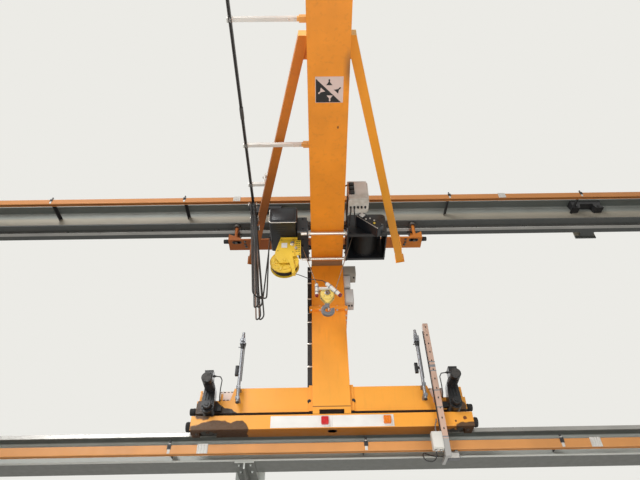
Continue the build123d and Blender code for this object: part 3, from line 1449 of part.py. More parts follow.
# Hook: bowl, back and tip from arcs, with the throat open to the upper right
HOOK_Z = BLOCK_Z - 209
with BuildPart() as hook:
    with BuildSketch(Plane.XZ.offset(-(TROLLEY_Y + HOOK_T / 2))) as hook_outline:
        with Locations((BLOCK_X + 2, HOOK_Z - 2)):
            Circle(HOOK_OUT_R - 4)
        with Locations((BLOCK_X - 4, HOOK_Z + 52)):
            Rectangle(52, 60)
        with Locations((BLOCK_X, HOOK_Z)):
            Circle(HOOK_BOWL_R, mode=Mode.SUBTRACT)
        with BuildLine():
            Polyline(
                (BLOCK_X + 4, HOOK_Z + 8),
                (BLOCK_X + 130, HOOK_Z + 36),
                (BLOCK_X + 130, HOOK_Z + 130),
                (BLOCK_X + 22, HOOK_Z + 130),
                (BLOCK_X + 22, HOOK_Z + 24),
                close=True,
            )
        make_face(mode=Mode.SUBTRACT)
    extrude(hook_outline.sketch, amount=HOOK_T)
    fillet(hook.faces().filter_by(Axis.Y).edges(), HOOK_ROUND)
    rod((BLOCK_X, TROLLEY_Y, HOOK_Z + 50), (BLOCK_X, TROLLEY_Y, LUG_LOW - 2), HOOK_NECK_R)
    rod((BLOCK_X, TROLLEY_Y, LUG_LOW - 2), (BLOCK_X, TROLLEY_Y, CROSSHEAD_Z[0] - 1), HOOK_SHANK_R + 2)
    rod((BLOCK_X, TROLLEY_Y, CROSSHEAD_Z[0] - 1), (BLOCK_X, TROLLEY_Y, CROSSHEAD_Z[1] - 2), HOOK_SHANK_R)
finish(hook, "hook")


# Free cables: straight runs joined by tangent arcs
def route_radii(points):
    """Bend radius at each inner point: 0.45 of the shorter run over the tangent of half the turn."""
    radii = []
    for before, here, after in zip(points, points[1:], points[2:]):
        run_in = Vector(*here) - Vector(*before)
        run_out = Vector(*after) - Vector(*here)
        half_turn = radians(run_in.get_angle(run_out) / 2)
        radii.append(0.45 * min(run_in.length, run_out.length) / tan(half_turn))
    return radii


def free_cable(points, diameter, label):
    """Round cable along a route, written as its own piece."""
    radii = route_radii(points)
    with BuildPart() as cable:
        with BuildLine() as route:
            FilletPolyline(*points, radius=radii)
        first_run = Vector(*points[1]) - Vector(*points[0])
        with BuildSketch(Plane(origin=points[0], z_dir=first_run)) as section:
            Circle(diameter / 2)
        sweep(section.sketch, path=route.wires()[0])
    route_length = sum(edge.length for edge in route.edges())
    filled = cable.part.volume / (pi * diameter**2 / 4 * route_length)
    print(label, "length", round(route_length), "fill", round(filled, 4), [round(r) for r in radii])
    finish(cable, label)


def festoon_route(offset, terminal_dy):
    """Down from the clamp, over both saddles in deep loops, and up to the terminal on the hoist."""
    top_x = CRANE_X + TRACK_X + offset
    low_x = top_x + LOOP_LEAN
    y = CLAMP_Y
    points = [(top_x, y, LOOP_TOP - 40 - 2 * SEAT)]
    for loop in range(2):
        points.append((low_x - LOOP_GATHER_X, y - LOOP_GATHER_Y, LOOP_LOW))
        points.append((low_x + LOOP_GATHER_X, y - LOOP_W + LOOP_GATHER_Y, LOOP_LOW))
        points.append((top_x, y - LOOP_W, LOOP_TOP))
        points.append((top_x, y - 2 * LOOP_W, LOOP_TOP))
        y -= 2 * LOOP_W
    end_x = CRANE_X + TERMINAL_X
    end_y = TERMINAL_Y + terminal_dy
    last_low = LOOP_LOW + 30
    points.append((low_x - LOOP_GATHER_X, y, last_low))
    points.append((low_x + 2.5 * LOOP_GATHER_X, y + LOOP_W - LOOP_GATHER_Y, last_low))
    points.append((end_x, end_y, TERMINAL_Z - TERMINAL_TAIL))
    points.append((end_x, end_y, TERMINAL_Z - SEAT))
    return points


free_cable(festoon_route(FESTOON_OFFSETS[0], 17), FESTOON_D, "festoon_cable_outer")
free_cable(festoon_route(FESTOON_OFFSETS[1], -17), FESTOON_D, "festoon_cable_inner")

REEL_CABLE_D = 9
REEL_CABLE_ROUTE = [
    (GUIDE_TIP[0] + 24, GUIDE_TIP[1], GUIDE_TIP[2]),
    (GUIDE_TIP[0] + 80, GUIDE_TIP[1], GUIDE_TIP[2] - 22),
    (CRANE_X - 215, LAMP_Y, 1738),
    (CRANE_X - 120, LAMP_Y, 1722),
    (CRANE_X - 60, LAMP_Y, 1714),
    (CRANE_X - 24, LAMP_Y, 1668),
]
free_cable(REEL_CABLE_ROUTE, REEL_CABLE_D, "reel_cable")

# Flexible lead from the junction box down and round to the collector's head
COLLECTOR_CABLE_D = 12
LEAD_LOW = GLAND_LOW - 90
LEAD_Z = COLLECTOR_LOW + 80
COLLECTOR_CABLE_ROUTE = [
    (GLAND_XS[0], COLLECTOR_Y, GLAND_LOW - SEAT),
    (GLAND_XS[0], COLLECTOR_Y, LEAD_LOW),
    (GLAND_XS[0] - 120, COLLECTOR_Y + 10, LEAD_LOW),
    (GLAND_XS[0] - 130, COLLECTOR_Y + 70, LEAD_Z),
    (GLAND_XS[0] - 20, LOW_BAR_Y - 30, LEAD_Z),
    (GLAND_XS[0] + 60, LOW_BAR_Y, LEAD_Z),
    (COLLECTOR_HEAD_X - SEAT, LOW_BAR_Y, LEAD_Z),
]
free_cable(COLLECTOR_CABLE_ROUTE, COLLECTOR_CABLE_D, "collector_cable")
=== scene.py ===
import json
from itertools import product
from math import cos, pi, radians, sin

import bmesh
import bpy
from mathutils import Matrix, Vector


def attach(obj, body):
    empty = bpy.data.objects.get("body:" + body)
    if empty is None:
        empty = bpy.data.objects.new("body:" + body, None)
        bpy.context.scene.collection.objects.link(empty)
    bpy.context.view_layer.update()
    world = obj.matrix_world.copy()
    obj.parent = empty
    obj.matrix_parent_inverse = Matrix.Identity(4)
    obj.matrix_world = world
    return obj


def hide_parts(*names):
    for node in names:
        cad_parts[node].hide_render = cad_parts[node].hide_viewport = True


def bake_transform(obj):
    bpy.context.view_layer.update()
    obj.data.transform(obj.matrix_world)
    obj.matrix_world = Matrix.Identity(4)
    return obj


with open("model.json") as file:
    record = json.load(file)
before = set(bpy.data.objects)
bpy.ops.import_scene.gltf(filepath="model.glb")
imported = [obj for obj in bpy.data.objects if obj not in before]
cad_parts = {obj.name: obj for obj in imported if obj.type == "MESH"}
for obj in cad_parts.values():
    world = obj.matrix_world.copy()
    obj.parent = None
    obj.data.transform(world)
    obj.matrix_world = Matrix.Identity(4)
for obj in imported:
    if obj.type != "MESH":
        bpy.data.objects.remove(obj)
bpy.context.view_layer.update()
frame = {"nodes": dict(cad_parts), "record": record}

# Places taken from the model, in metres
CRANE_X = 0.9
MAST_FRONT = -0.81
MAST_X = (CRANE_X - 0.2, CRANE_X + 0.2)
JIB_UNDER = 2.388
HEAD_UNDER = 3.26
TROLLEY_Y = -1.22
LAMP_Y = TROLLEY_Y - 0.071
BLOCK_X = 0.88
BLOCK_Z = 1.554
TRACK_X = -0.008
TRACK_TOP = 2.72
CLAMP_Y = -1.24
LOOP_W = 0.11
LOOP_TOP = 2.655
LOOP_LOW = 1.19
LOOP_LEAN = 0.15
FLOOR_Z = -7.0

LEFT = (-1, 0, 0)
RIGHT = (1, 0, 0)
FRONT = (0, -1, 0)
REAR = (0, 1, 0)
UP = (0, 0, 1)
DOWN = (0, 0, -1)


def screen(red, green, blue):
    """Linear colour of a screen colour given as 0 to 255."""
    parts = [value / 255 for value in (red, green, blue)]
    return tuple(p / 12.92 if p <= 0.04045 else ((p + 0.055) / 1.055) ** 2.4 for p in parts) + (1.0,)


def show(name, data):
    """New object in the scene."""
    made = bpy.data.objects.new(name, data)
    bpy.context.scene.collection.objects.link(made)
    return made


def steps(first, last, count):
    """Evenly spaced values from first to last."""
    return [first + (last - first) * step / (count - 1) for step in range(count)]


def grid(*spans):
    """Every mix of the coordinates, each of them one value or several."""
    return product(*(span if isinstance(span, (list, tuple)) else [span] for span in spans))


def turns(count, first=0.0):
    """Even turns round a circle."""
    return [first + 2 * pi * step / count for step in range(count)]


def ring(radius, angles, y=0.0):
    """Places on an upright circle."""
    return [(radius * cos(angle), y, radius * sin(angle)) for angle in angles]


# Camera where the photograph was taken from, looking up at the wall
CAMERA_RIGHT = (0.99986, 0.00415, -0.01598)
CAMERA_UP = (0.01441, -0.69210, 0.72165)
CAMERA_BACK = (-0.00807, -0.72179, -0.69207)
CAMERA_PLACE = (0.757, -6.05, -2.2)
view = bpy.data.cameras.new("camera")
view.sensor_width = 36
view.lens = 29.98
view.clip_end = 80
camera = show("camera", view)
turn = Matrix((CAMERA_RIGHT, CAMERA_UP, CAMERA_BACK)).transposed().to_4x4()
camera.matrix_world = Matrix.Translation(CAMERA_PLACE) @ turn
bpy.context.scene.camera = camera


# Materials, laid in layers where a product of masks is 1. A mask is a socket, a share or an axis with the
# values where it is 0 and 1. Places are object coordinates, which are metres in the row frame
class Nodes:
    """Node tree of a material or the world."""

    def __init__(self, owner):
        owner.use_nodes = True
        self.nodes = owner.node_tree.nodes
        self.links = owner.node_tree.links

    def fill(self, socket, value):
        """Links another socket to this one, or gives it a value."""
        if isinstance(value, bpy.types.NodeSocket):
            self.links.new(value, socket)
        else:
            socket.default_value = value

    def node(self, kind, *values, **named):
        """New node from values for its first sockets, settings in lower case and sockets by their names."""
        made = self.nodes.new("ShaderNode" + kind)
        sockets = dict(enumerate(values))
        for key, value in named.items():
            if key.islower():
                setattr(made, key, value)
            else:
                sockets[key] = value
        for key, value in sockets.items():
            self.fill(made.inputs[key], value)
        return made

    def maths(self, operation, first, second):
        return self.node("Math", first, second, operation=operation).outputs[0]

    def vector(self, operation, *values):
        return self.node("VectorMath", *values, operation=operation).outputs

    def direct(self):
        """1 for what the camera sees itself or in a mirror."""
        rays = self.node("LightPath").outputs
        return self.maths("MAXIMUM", rays["Is Camera Ray"], rays["Is Glossy Ray"])


class Finish(Nodes):
    """Surface built in layers."""

    def __init__(self, name, colour, roughness, metallic=0.0, coat=0.0, mottle=0.08):
        self.name = name
        self.material = bpy.data.materials.new(name)
        super().__init__(self.material)
        self.shader = self.nodes["Principled BSDF"]
        for key, value in {"Metallic": metallic, "Coat Weight": coat, "Coat Roughness": 0.25}.items():
            self.shader.inputs[key].default_value = value
        self.place = self.node("TexCoord").outputs["Object"]
        self.height = 0.0
        base = screen(*colour)[:3]
        light = [min(1, channel * (1 + mottle)) for channel in base] + [1]
        dark = [channel * (1 - mottle) for channel in base] + [1]
        self.colour = self.blend(dark, light, self.noise(2.5, 0.35, 0.65))
        self.roughness = self.blend(roughness - 0.06, roughness + 0.06, self.noise(15, 0.3, 0.7), "FLOAT")

    def blend(self, first, second, factor, kind="RGBA"):
        """Mix of two colours, or of two numbers where the kind is FLOAT."""
        mixed = self.node("Mix", factor, data_type=kind)
        slot, result = (6, 2) if kind == "RGBA" else (2, 0)
        self.fill(mixed.inputs[slot], first)
        self.fill(mixed.inputs[slot + 1], second)
        return mixed.outputs[result]

    def ramp(self, value, low, high):
        """0 where the value is low and 1 where it is high."""
        return self.node("MapRange", value, low, high).outputs[0]

    def noise(self, scale, low, high, stretch=None):
        """Clouds that run from 0 to 1 between two levels of the noise."""
        place = self.vector("MULTIPLY", self.place, stretch)[0] if stretch else self.place
        return self.ramp(self.node("TexNoise", Vector=place, Scale=scale, Detail=4.0).outputs[0], low, high)

    def spot(self, centre, size, ragged=0.5, grain=18.0, soft=0.25):
        """1 inside an ellipsoid with ragged edges, 0 outside it."""
        away = self.vector("SUBTRACT", self.place, centre)[0]
        scaled = self.vector("MULTIPLY", away, [1 / part for part in size])[0]
        distance = self.vector("LENGTH", scaled)["Value"]
        clouds = self.node("TexNoise", Vector=self.place, Scale=grain, Detail=5.0).outputs[0]
        edge = self.maths("ADD", distance, self.maths("MULTIPLY", clouds, ragged))
        return self.ramp(edge, 1 + ragged / 2, 1 + ragged / 2 - soft)

    def facing(self, direction):
        """1 where the surface faces a direction."""
        normal = self.node("NewGeometry").outputs["Normal"]
        return self.ramp(self.vector("DOT_PRODUCT", normal, direction)["Value"], 0.5, 0.95)

    def rims(self, width):
        """1 on the outer and inner edges of the shape, 0 on its faces."""
        rounded = self.node("Bevel", samples=4, Radius=width).outputs[0]
        normal = self.node("NewGeometry").outputs["Normal"]
        away = self.maths("SUBTRACT", 1.0, self.vector("DOT_PRODUCT", rounded, normal)["Value"])
        return self.ramp(away, 0.02, 0.3)

    def along(self, axis, low, high):
        """0 at one value of a coordinate and 1 at the other."""
        parts = self.node("SeparateXYZ", self.place).outputs
        return self.ramp(parts["XYZ".index(axis)], low, high)

    def where(self, *masks):
        """Product of the masks."""
        total, *others = [self.along(*mask) if isinstance(mask, tuple) else mask for mask in masks]
        for mask in others:
            total = self.maths("MULTIPLY", total, mask)
        return total

    def cover(self, colour, *masks, roughness=None):
        """Lays a screen colour over the surface where every mask is 1."""
        mask = self.where(*masks)
        self.colour = self.blend(self.colour, screen(*colour), mask)
        if roughness is not None:
            self.roughness = self.blend(self.roughness, roughness, mask, "FLOAT")

    def relief(self, depth, *masks):
        """Raises the surface by a depth in metres where every mask is 1."""
        self.height = self.maths("ADD", self.height, self.where(*masks, depth))

    def done(self, rounding=0.003):
        """Joins the layers to the shader, with the sharp edges rounded a little."""
        bump = self.node("Bump", Height=self.height, Distance=1.0)
        if rounding:
            self.fill(bump.inputs["Normal"], self.node("Bevel", samples=4, Radius=rounding).outputs[0])
        self.fill(self.shader.inputs["Base Color"], self.colour)
        self.fill(self.shader.inputs["Roughness"], self.roughness)
        self.fill(self.shader.inputs["Normal"], bump.outputs[0])
        return self.material


GREASE = (54, 35, 20)
RUST = (120, 66, 30)
DUST = (150, 138, 118)


def paint(name, colour, roughness=0.42, dust=0.35):
    """Shop paint: faint orange peel, dust on what faces up, rust where the edges are chipped."""
    finish = Finish(name, colour, roughness, coat=0.15)
    finish.cover(RUST, finish.rims(0.004), finish.noise(60, 0.55, 0.62), 0.5, roughness=0.8)
    finish.cover(DUST, finish.facing(UP), finish.noise(9, 0.2, 0.7), dust, roughness=0.85)
    finish.relief(0.00015, finish.noise(220, 0.3, 0.7))
    return finish


def plain(name, colour, roughness, metallic=0.0, grain=180.0, depth=0.0001, mottle=0.08):
    """Moulded, cast or bare surface with a fine grain."""
    finish = Finish(name, colour, roughness, metallic, mottle=mottle)
    finish.relief(depth, finish.noise(grain, 0.3, 0.7))
    return finish


# Orange paint: paler low down, painted light on the right brace and on the front faces of both braces' outer
# ends, painted shade on the left brace, darker on the head, a grey-brown band in the corner under the jib,
# painted shade with soot under the low beams
orange = paint("crane_orange", (246, 150, 34))
orange.cover((176, 104, 34), orange.noise(3.5, 0.55, 0.75, stretch=(6, 6, 1)), 0.22)
orange.cover((255, 184, 72), ("Z", 1.62, 0.5), 0.55)
# Painted shade: the left brace darker
left_brace = (("X", CRANE_X - 0.2, CRANE_X - 0.24), ("Z", 2.6, 2.65), ("Y", -4.4, -1.6))
orange.cover((142, 76, 12), *left_brace, 0.9, roughness=0.7)
orange.cover((150, 76, 16), ("Z", 3.2, 3.25), 0.6, roughness=0.7)
# Painted light: the right brace paler
orange.cover((255, 178, 46), ("X", CRANE_X + 0.2, CRANE_X + 0.24), ("Z", 2.6, 2.65), ("Z", 3.1, 3.05), 0.6)
# Painted light on the faces of both braces' outer ends that look forward
brace_ends = (("Z", 2.6, 2.65), ("Y", -3.2, -3.5), ("Y", -5.9, -5.8))
orange.cover((255, 214, 120), orange.facing(FRONT), *brace_ends, 0.85)
# Grey-brown band in the corner where the jib meets the mast
corner = (("Y", -0.885, -0.872), ("Z", 2.352, 2.362), ("Z", 2.402, 2.396))
orange.cover((118, 98, 78), *corner, 0.85, roughness=0.7)
# Painted shade mixed with soot on faces that look down below 0.4 m, near black painted shade on those between
# 0.3 and 0.36 m
sooty = orange.where(orange.facing(DOWN), ("Z", 0.4, 0.39))
orange.cover((122, 68, 14), sooty, 0.8)
orange.cover((18, 13, 10), sooty, ("Z", 0.3, 0.36), 0.95)

# Grease on both ends of the low beams, a dark seam, a darker patch under the jib and three rusty spots
greasy = 0.0
for place, size in (
    ((-0.3, -0.74, 0.165), (0.29, 0.3, 0.115)),
    ((-0.07, -0.76, 0.19), (0.11, 0.3, 0.085)),
    ((2.3, -0.74, 0.14), (0.16, 0.3, 0.08)),
    ((-0.42, -0.76, 0.4), (0.16, 0.1, 0.15)),
    ((2.22, -0.76, 0.4), (0.11, 0.1, 0.1)),
):
    greasy = orange.maths("MAXIMUM", greasy, orange.spot(place, size, grain=13.0, soft=0.1))
orange.cover(GREASE, greasy, 0.94, roughness=0.6)
orange.relief(0.004, greasy, orange.noise(30, 0.3, 0.7))
orange.cover((126, 74, 22), ("Z", 0.401, 0.404), ("Z", 0.415, 0.412), ("Y", -0.8, -0.805), 0.9)
# Darker patch under the jib's right edge
smudge = orange.spot((CRANE_X + 0.2, -3.56, JIB_UNDER), (0.07, 0.24, 0.1), ragged=0.3, grain=6.0, soft=0.8)
orange.cover((120, 82, 46), smudge, 0.75)
for *place, size in ((2.27, -0.81, 0.255, 0.022), (2.17, -0.81, 0.225, 0.012), (1.0, -2.92, JIB_UNDER, 0.01)):
    rusty = orange.spot(place, (size, 2 * size, size), ragged=0.8, grain=40.0)
    orange.cover(RUST, rusty, roughness=0.85)

# Runway paint: painted shade under the flanges and along the upper beam's lower edge, darker low on the lower
# beam, paler on the upper beam's web, painted light on the lower beam's front faces
runway = paint("runway_grey", (148, 152, 146), 0.5, dust=0.6)
# Painted shade on every face that looks down
runway.cover((84, 90, 87), runway.facing(DOWN), 0.8)
runway.cover((182, 172, 152), ("Z", 3.595, 3.605), ("Z", 3.9, 3.85), 0.7)
# Painted shade in a dark band along the upper beam's lower edge
runway.cover((56, 58, 57), ("Z", 3.4, 3.45), ("Z", 3.6, 3.594), 0.85)
runway.cover((96, 94, 88), ("Z", 0.02, 0.0), 0.6)
# Painted light on the lower beam's faces that look forward, below its top
runway.cover((226, 232, 226), runway.facing(FRONT), ("Z", 0.24, 0.22), 0.85)
runway.cover((96, 88, 74), runway.noise(2.2, 0.5, 0.75, stretch=(1, 4, 4)), 0.18)

# Upper conductor bar darker than the lower one
bars = plain("bar_orange", (214, 148, 84), 0.45)
bars.cover((200, 130, 68), ("Z", 2, 2.1), 0.8)

# Panel lamps: red on the left and amber on the right. The block's lamps are darker
lamps = plain("lamp_red", (206, 36, 44), 0.25)
lamps.cover((238, 128, 26), ("X", 1.1, 1.12))
lamps.cover((124, 22, 32), ("Z", 1.0, 1.1))

# Upper mast cabinet in painted shade, festoon arms orange next to the jib, the hoist's box darker and browner
# low down
cabinets = paint("cabinet_grey", (208, 206, 202), 0.45)
cabinets.cover((138, 130, 114), ("Z", 2.22, 2.235), 0.8)
arms_zinc = plain("festoon_zinc", (228, 225, 218), 0.4, 0.25)
arms_zinc.cover((240, 184, 104), ("X", CRANE_X - 0.29, CRANE_X - 0.285))
boxes = plain("box_white", (220, 217, 209), 0.45)
boxes.cover((140, 130, 108), ("Z", 2.6, 2.5), ("Z", 2.3, 2.31), boxes.noise(12, 0.3, 1.0))

# Collector post: tan, bare steel at its foot
tan = paint("post_tan", (206, 172, 152), 0.55)
tan.cover((170, 168, 164), ("Z", 0.02, 0.0), roughness=0.4)

# Cables: black, the first run of each festoon cable worn to a brown sheath
cables = plain("cable_black", (28, 26, 25), 0.5)
cables.cover((128, 92, 70), ("Y", -1.275, -1.265), ("X", 0.3, 0.28), 0.8)

finishes = {
    "cable_black": cables.done(0),
    "rope_wire": plain("rope_wire", (150, 128, 108), 0.45, 0.6).done(0),
}
for finish in (
    orange, runway, bars, lamps, cabinets, arms_zinc, boxes, tan,
    paint("drive_black", (9, 10, 12), 0.45, dust=0.1),
    paint("trolley_black", (21, 23, 26), 0.4, dust=0.15),
    paint("reel_yellow", (240, 200, 60), 0.38),
    paint("block_yellow", (238, 208, 112), 0.4),
):
    finishes[finish.name] = finish.done()
for name, *look in (
    ("rail_steel", (160, 158, 154), 0.32, 0.9),
    ("hanger_dark", (40, 40, 42), 0.5),
    ("clamp_grey", (216, 213, 206), 0.5),
    ("wheel_steel", (96, 92, 88), 0.45, 0.8),
    ("buffer_rubber", (30, 30, 31), 0.75),
    ("post_silver", (140, 142, 146), 0.42, 0.7),
    ("collector_grey", (110, 110, 112), 0.5),
    ("panel_white", (238, 236, 230), 0.35),
    ("duct_dark", (30, 26, 25), 0.5),
    ("track_dark", (84, 82, 80), 0.42, 0.7),
    ("saddle_black", (27, 27, 28), 0.5),
    ("rod_zinc", (214, 208, 200), 0.3, 0.85),
    ("drum_grey", (60, 60, 62), 0.4, 0.8),
    ("control_black", (26, 29, 34), 0.42),
    ("cover_black", (21, 24, 28), 0.38),
    ("sheave_steel", (100, 100, 102), 0.4, 0.8),
    ("lamp_white", (226, 222, 214), 0.35),
    ("hook_grey", (122, 125, 129), 0.42, 0.5),
):
    finishes[name] = plain(name, *look).done()

for part in frame["record"]["subparts"]:
    for slot in frame["nodes"][part["node"]].material_slots:
        slot.material = finishes[part["material_slot"]]


# Cords, on the routes that the model gives them
def spline_mesh(points, thickness):
    """Mesh of a smooth line through a cord's route: a tube, or the bare line at thickness 0."""
    line = bpy.data.curves.new("route", "CURVE")
    line.dimensions = "3D"
    line.resolution_u = 16
    line.bevel_depth = thickness / 2
    line.bevel_resolution = 4
    line.use_fill_caps = thickness > 0
    spline = line.splines.new("NURBS")
    spline.points.add(len(points) - 1)
    for place, point in zip(spline.points, points):
        place.co = (*point, 1)
    spline.order_u = 3
    spline.use_endpoint_u = True
    holder = bpy.data.objects.new("route", line)
    made = bpy.data.meshes.new_from_object(holder)
    bpy.data.objects.remove(holder)
    return made


def bend(start, end, direction):
    """Where a bend along a direction starts and ends, 1 cm inside two points."""
    start = Vector(start)
    reach = (Vector(end) - start).dot(direction)
    return [tuple(start + direction * along) for along in (0.01, reach - 0.01)]


def cable(name, points, diameter, bodies, ends=None):
    """Free cable in place of its CAD node, riding on one body, or fixed where it stands when it runs between
    two.
    """
    tube = spline_mesh(points, diameter)
    tube.materials.append(finishes["cable_black"])
    tube.shade_smooth()
    path = [tuple(vertex.co) for vertex in spline_mesh(points, 0).vertices]
    laid = show(name + "_line", tube)
    if ends is None:
        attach(laid, *bodies)
    else:
        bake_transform(laid)
    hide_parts(name)


def festoon_points(offset, shift):
    """Route from the clamp over both saddles and up to the hoist, its loops leaning as they hang."""
    top_x = TRACK_X + offset
    low_x = top_x + LOOP_LEAN
    y = CLAMP_Y
    points = [(top_x, y, LOOP_TOP - 0.0406)]
    for _ in range(2):
        points += [
            (low_x - 0.036, y - 0.019, LOOP_LOW + 0.09), (low_x - 0.028, y - 0.02, LOOP_LOW),
            (low_x + 0.028, y - 0.09, LOOP_LOW), (low_x + 0.017, y - 0.091, LOOP_LOW + 0.09),
            (top_x + 0.013, y - LOOP_W + 0.001, LOOP_TOP - 0.11),
            (top_x, y - LOOP_W, LOOP_TOP), (top_x, y - 2 * LOOP_W, LOOP_TOP),
            (top_x + 0.009, y - 2 * LOOP_W - 0.001, LOOP_TOP - 0.11),
        ]
        y -= 2 * LOOP_W
    end = (CRANE_X - 0.722, -1.2 + shift)
    points += [
        (low_x - 0.039, y, LOOP_LOW + 0.16), (low_x - 0.028, y, LOOP_LOW + 0.03),
        (low_x + 0.07, y + 0.09, LOOP_LOW + 0.03), (low_x + 0.069, y + 0.135, LOOP_LOW + 0.16),
        (end[0], end[1] - 0.031, 2.302), (*end, 2.39), (*end, 2.4797),
    ]
    return points


# Only the last run crosses to the trolley. The bend's ends are found along a direction that leans towards the
# vertical as far as it can with the loops still before its start
CROSSING = Vector((0.9, 0, 0.436)).normalized()
for name, points, length in (
    ("festoon_cable_outer", festoon_points(-0.018, 0.017), 8.956),
    ("festoon_cable_inner", festoon_points(0.018, -0.017), 8.945),
):
    ends = bend((points[0][0], CLAMP_Y, LOOP_TOP), points[-1], CROSSING)
    cable(name, points, 0.016, ("crane", "trolley"), ends)

# The same for the reel's cable
UNWINDING = Vector((0.6, 0, -0.8))
route = [
    (CRANE_X - 0.381, -1.3, 1.813), (CRANE_X - 0.325, -1.3, 1.791),
    (CRANE_X - 0.215, LAMP_Y, 1.738), (CRANE_X - 0.12, LAMP_Y, 1.722),
    (CRANE_X - 0.06, LAMP_Y, 1.714), (CRANE_X - 0.024, LAMP_Y, 1.668),
]
ends = bend(route[0], route[-1], UNWINDING)
cable("reel_cable", route, 0.009, ("trolley", "hook_block"), ends)

lead_x = 1.903
route = [
    (lead_x, -0.87, -0.1133), (lead_x, -0.87, -0.203),
    (lead_x - 0.12, -0.86, -0.203), (lead_x - 0.13, -0.8, -0.085),
    (lead_x - 0.02, -0.7, -0.085), (lead_x + 0.06, -0.67, -0.085), (2.0417, -0.67, -0.085),
]
cable("collector_cable", route, 0.012, ("crane",))


# Small pieces, built as meshes in the row frame
class Piece:
    """One mesh of bevelled blocks, turned forms, plates and bolts, measured from an origin."""

    made = []

    def __init__(self, name, body, slot, finish=None):
        self.name, self.body, self.slot = name, body, slot
        self.finish = finish or finishes[slot]
        self.mesh = bmesh.new()
        self.at()
        self.made.append(self)

    def at(self, x=0.0, y=0.0, z=0.0, side=1):
        """Measures what follows from this point, and mirrored across it where the side is -1."""
        self.origin = Vector((x, y, z))
        self.side = side
        return self

    def aim(self, direction):
        """Direction in the row frame."""
        x, y, z = direction
        return Vector((self.side * x, y, z))

    def put(self, place):
        """Point in the row frame."""
        return self.origin + self.aim(place)

    def block(self, low, high, bevel=0.002, turn=None):
        """Box between two corners, its edges rounded, turned about its own centre."""
        low, high = self.put(low), self.put(high)
        size = [abs(length) for length in high - low]
        place = Matrix.Translation((low + high) / 2) @ (turn or Matrix()) @ Matrix.Diagonal((*size, 1))
        made = bmesh.ops.create_cube(self.mesh, size=1, matrix=place)
        edges = list({edge for vertex in made["verts"] for edge in vertex.link_edges})
        if bevel:
            bmesh.ops.bevel(self.mesh, geom=edges, offset=bevel, segments=2, profile=0.5, affect="EDGES")

    def box(self, centre, size, bevel=0.002, turn=None):
        """Box round its centre."""
        half = Vector(size) / 2
        self.block(Vector(centre) - half, Vector(centre) + half, bevel, turn)

    def turned(self, origin, axis, profile, segments=32):
        """Form turned on an axis from (distance along it, radius) pairs."""
        turn = self.aim(axis).to_track_quat("Z", "Y").to_matrix().to_4x4()
        place = Matrix.Translation(self.put(origin)) @ turn
        rings = []
        for along, radius in profile:
            angles = turns(segments) if radius else [0]
            corners = [(x, z, along) for x, _, z in ring(radius, angles)]
            rings.append([self.mesh.verts.new(place @ Vector(corner)) for corner in corners])
        for end in (rings[0], rings[-1]):
            if len(end) > 1:
                self.mesh.faces.new(end)
        for lower, upper in zip(rings, rings[1:]):
            for step in range(segments):
                around = ((lower, step), (lower, step + 1), (upper, step + 1), (upper, step))
                corners = [level[turned % len(level)] for level, turned in around]
                self.mesh.faces.new(list(dict.fromkeys(corners)))

    def disc(self, origin, axis, radius, height, segments=24):
        """Round disc or bar."""
        self.turned(origin, axis, [(0, radius), (height, radius)], segments)

    def plate(self, outline, push):
        """Flat outline of points, pushed along a vector."""
        bottom = [self.mesh.verts.new(self.put(corner)) for corner in outline]
        top = [self.mesh.verts.new(vertex.co + self.aim(push)) for vertex in bottom]
        self.mesh.faces.new(bottom)
        self.mesh.faces.new(top)
        for step in range(len(outline)):
            after = (step + 1) % len(outline)
            self.mesh.faces.new((bottom[step], bottom[after], top[after], top[step]))

    def bolts(self, places, axis, across, height):
        """Hexagon heads with chamfered tops on washers."""
        radius = across / 2 / cos(pi / 6)
        for place in places:
            self.disc(place, axis, 1.3 * radius, 0.003, 20)
            self.turned(place, axis, [(0.003, radius), (height * 0.85, radius), (height, radius * 0.8)], 6)

    def screws(self, places, axis, radius=0.006):
        """Domed screw heads."""
        profile = [(0, radius), (radius * 0.4, radius * 0.9), (radius * 0.7, radius * 0.4)]
        for place in places:
            self.turned(place, axis, profile, 14)

    def bar(self, start, end, radius, sides=12):
        """Straight round bar between two points."""
        run = Vector(end) - Vector(start)
        self.disc(start, run, radius, run.length, sides)

    def tube(self, points, radius, sides=12):
        """Round bar bent through a few points, with a ball at each joint of its runs."""
        for start, end in zip(points, points[1:]):
            self.bar(start, end, radius, sides)
        ball = [(radius * -cos(pi * step / 6), radius * sin(pi * step / 6)) for step in range(1, 6)]
        for corner in points[1:-1]:
            self.turned(corner, UP, [(-radius, 0), *ball, (radius, 0)], sides)

    def bead(self, start, end, radius):
        """Weld bead: a slightly uneven round bar along a corner."""
        run = Vector(end) - Vector(start)
        count = max(8, int(run.length / 0.012))
        lumps = [radius * (1 + 0.16 * sin(2.3 * step)) for step in range(count + 1)]
        self.turned(start, run, list(zip(steps(0, run.length, count + 1), lumps)), 8)

    def done(self):
        """Closes the mesh, gives it its finish and lets it ride on its body, if it has one."""
        bmesh.ops.recalc_face_normals(self.mesh, faces=self.mesh.faces)
        made = bpy.data.meshes.new(self.name)
        self.mesh.to_mesh(made)
        self.mesh.free()
        made.shade_smooth()
        made.set_sharp_from_angle(angle=radians(32))
        made.materials.append(self.finish)
        shown = show(self.name, made)
        if self.body:
            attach(shown, self.body)
        return shown


def pieces(body, *place, **slots):
    """Pieces that ride on one body, measured from one place, each with the slot of its finish."""
    return [Piece(name, body, slot).at(*place) for name, slot in slots.items()]


def move(group, *place):
    """Gives several pieces the same origin."""
    for piece in group:
        piece.at(*place)


SIDES = (-1, 1)

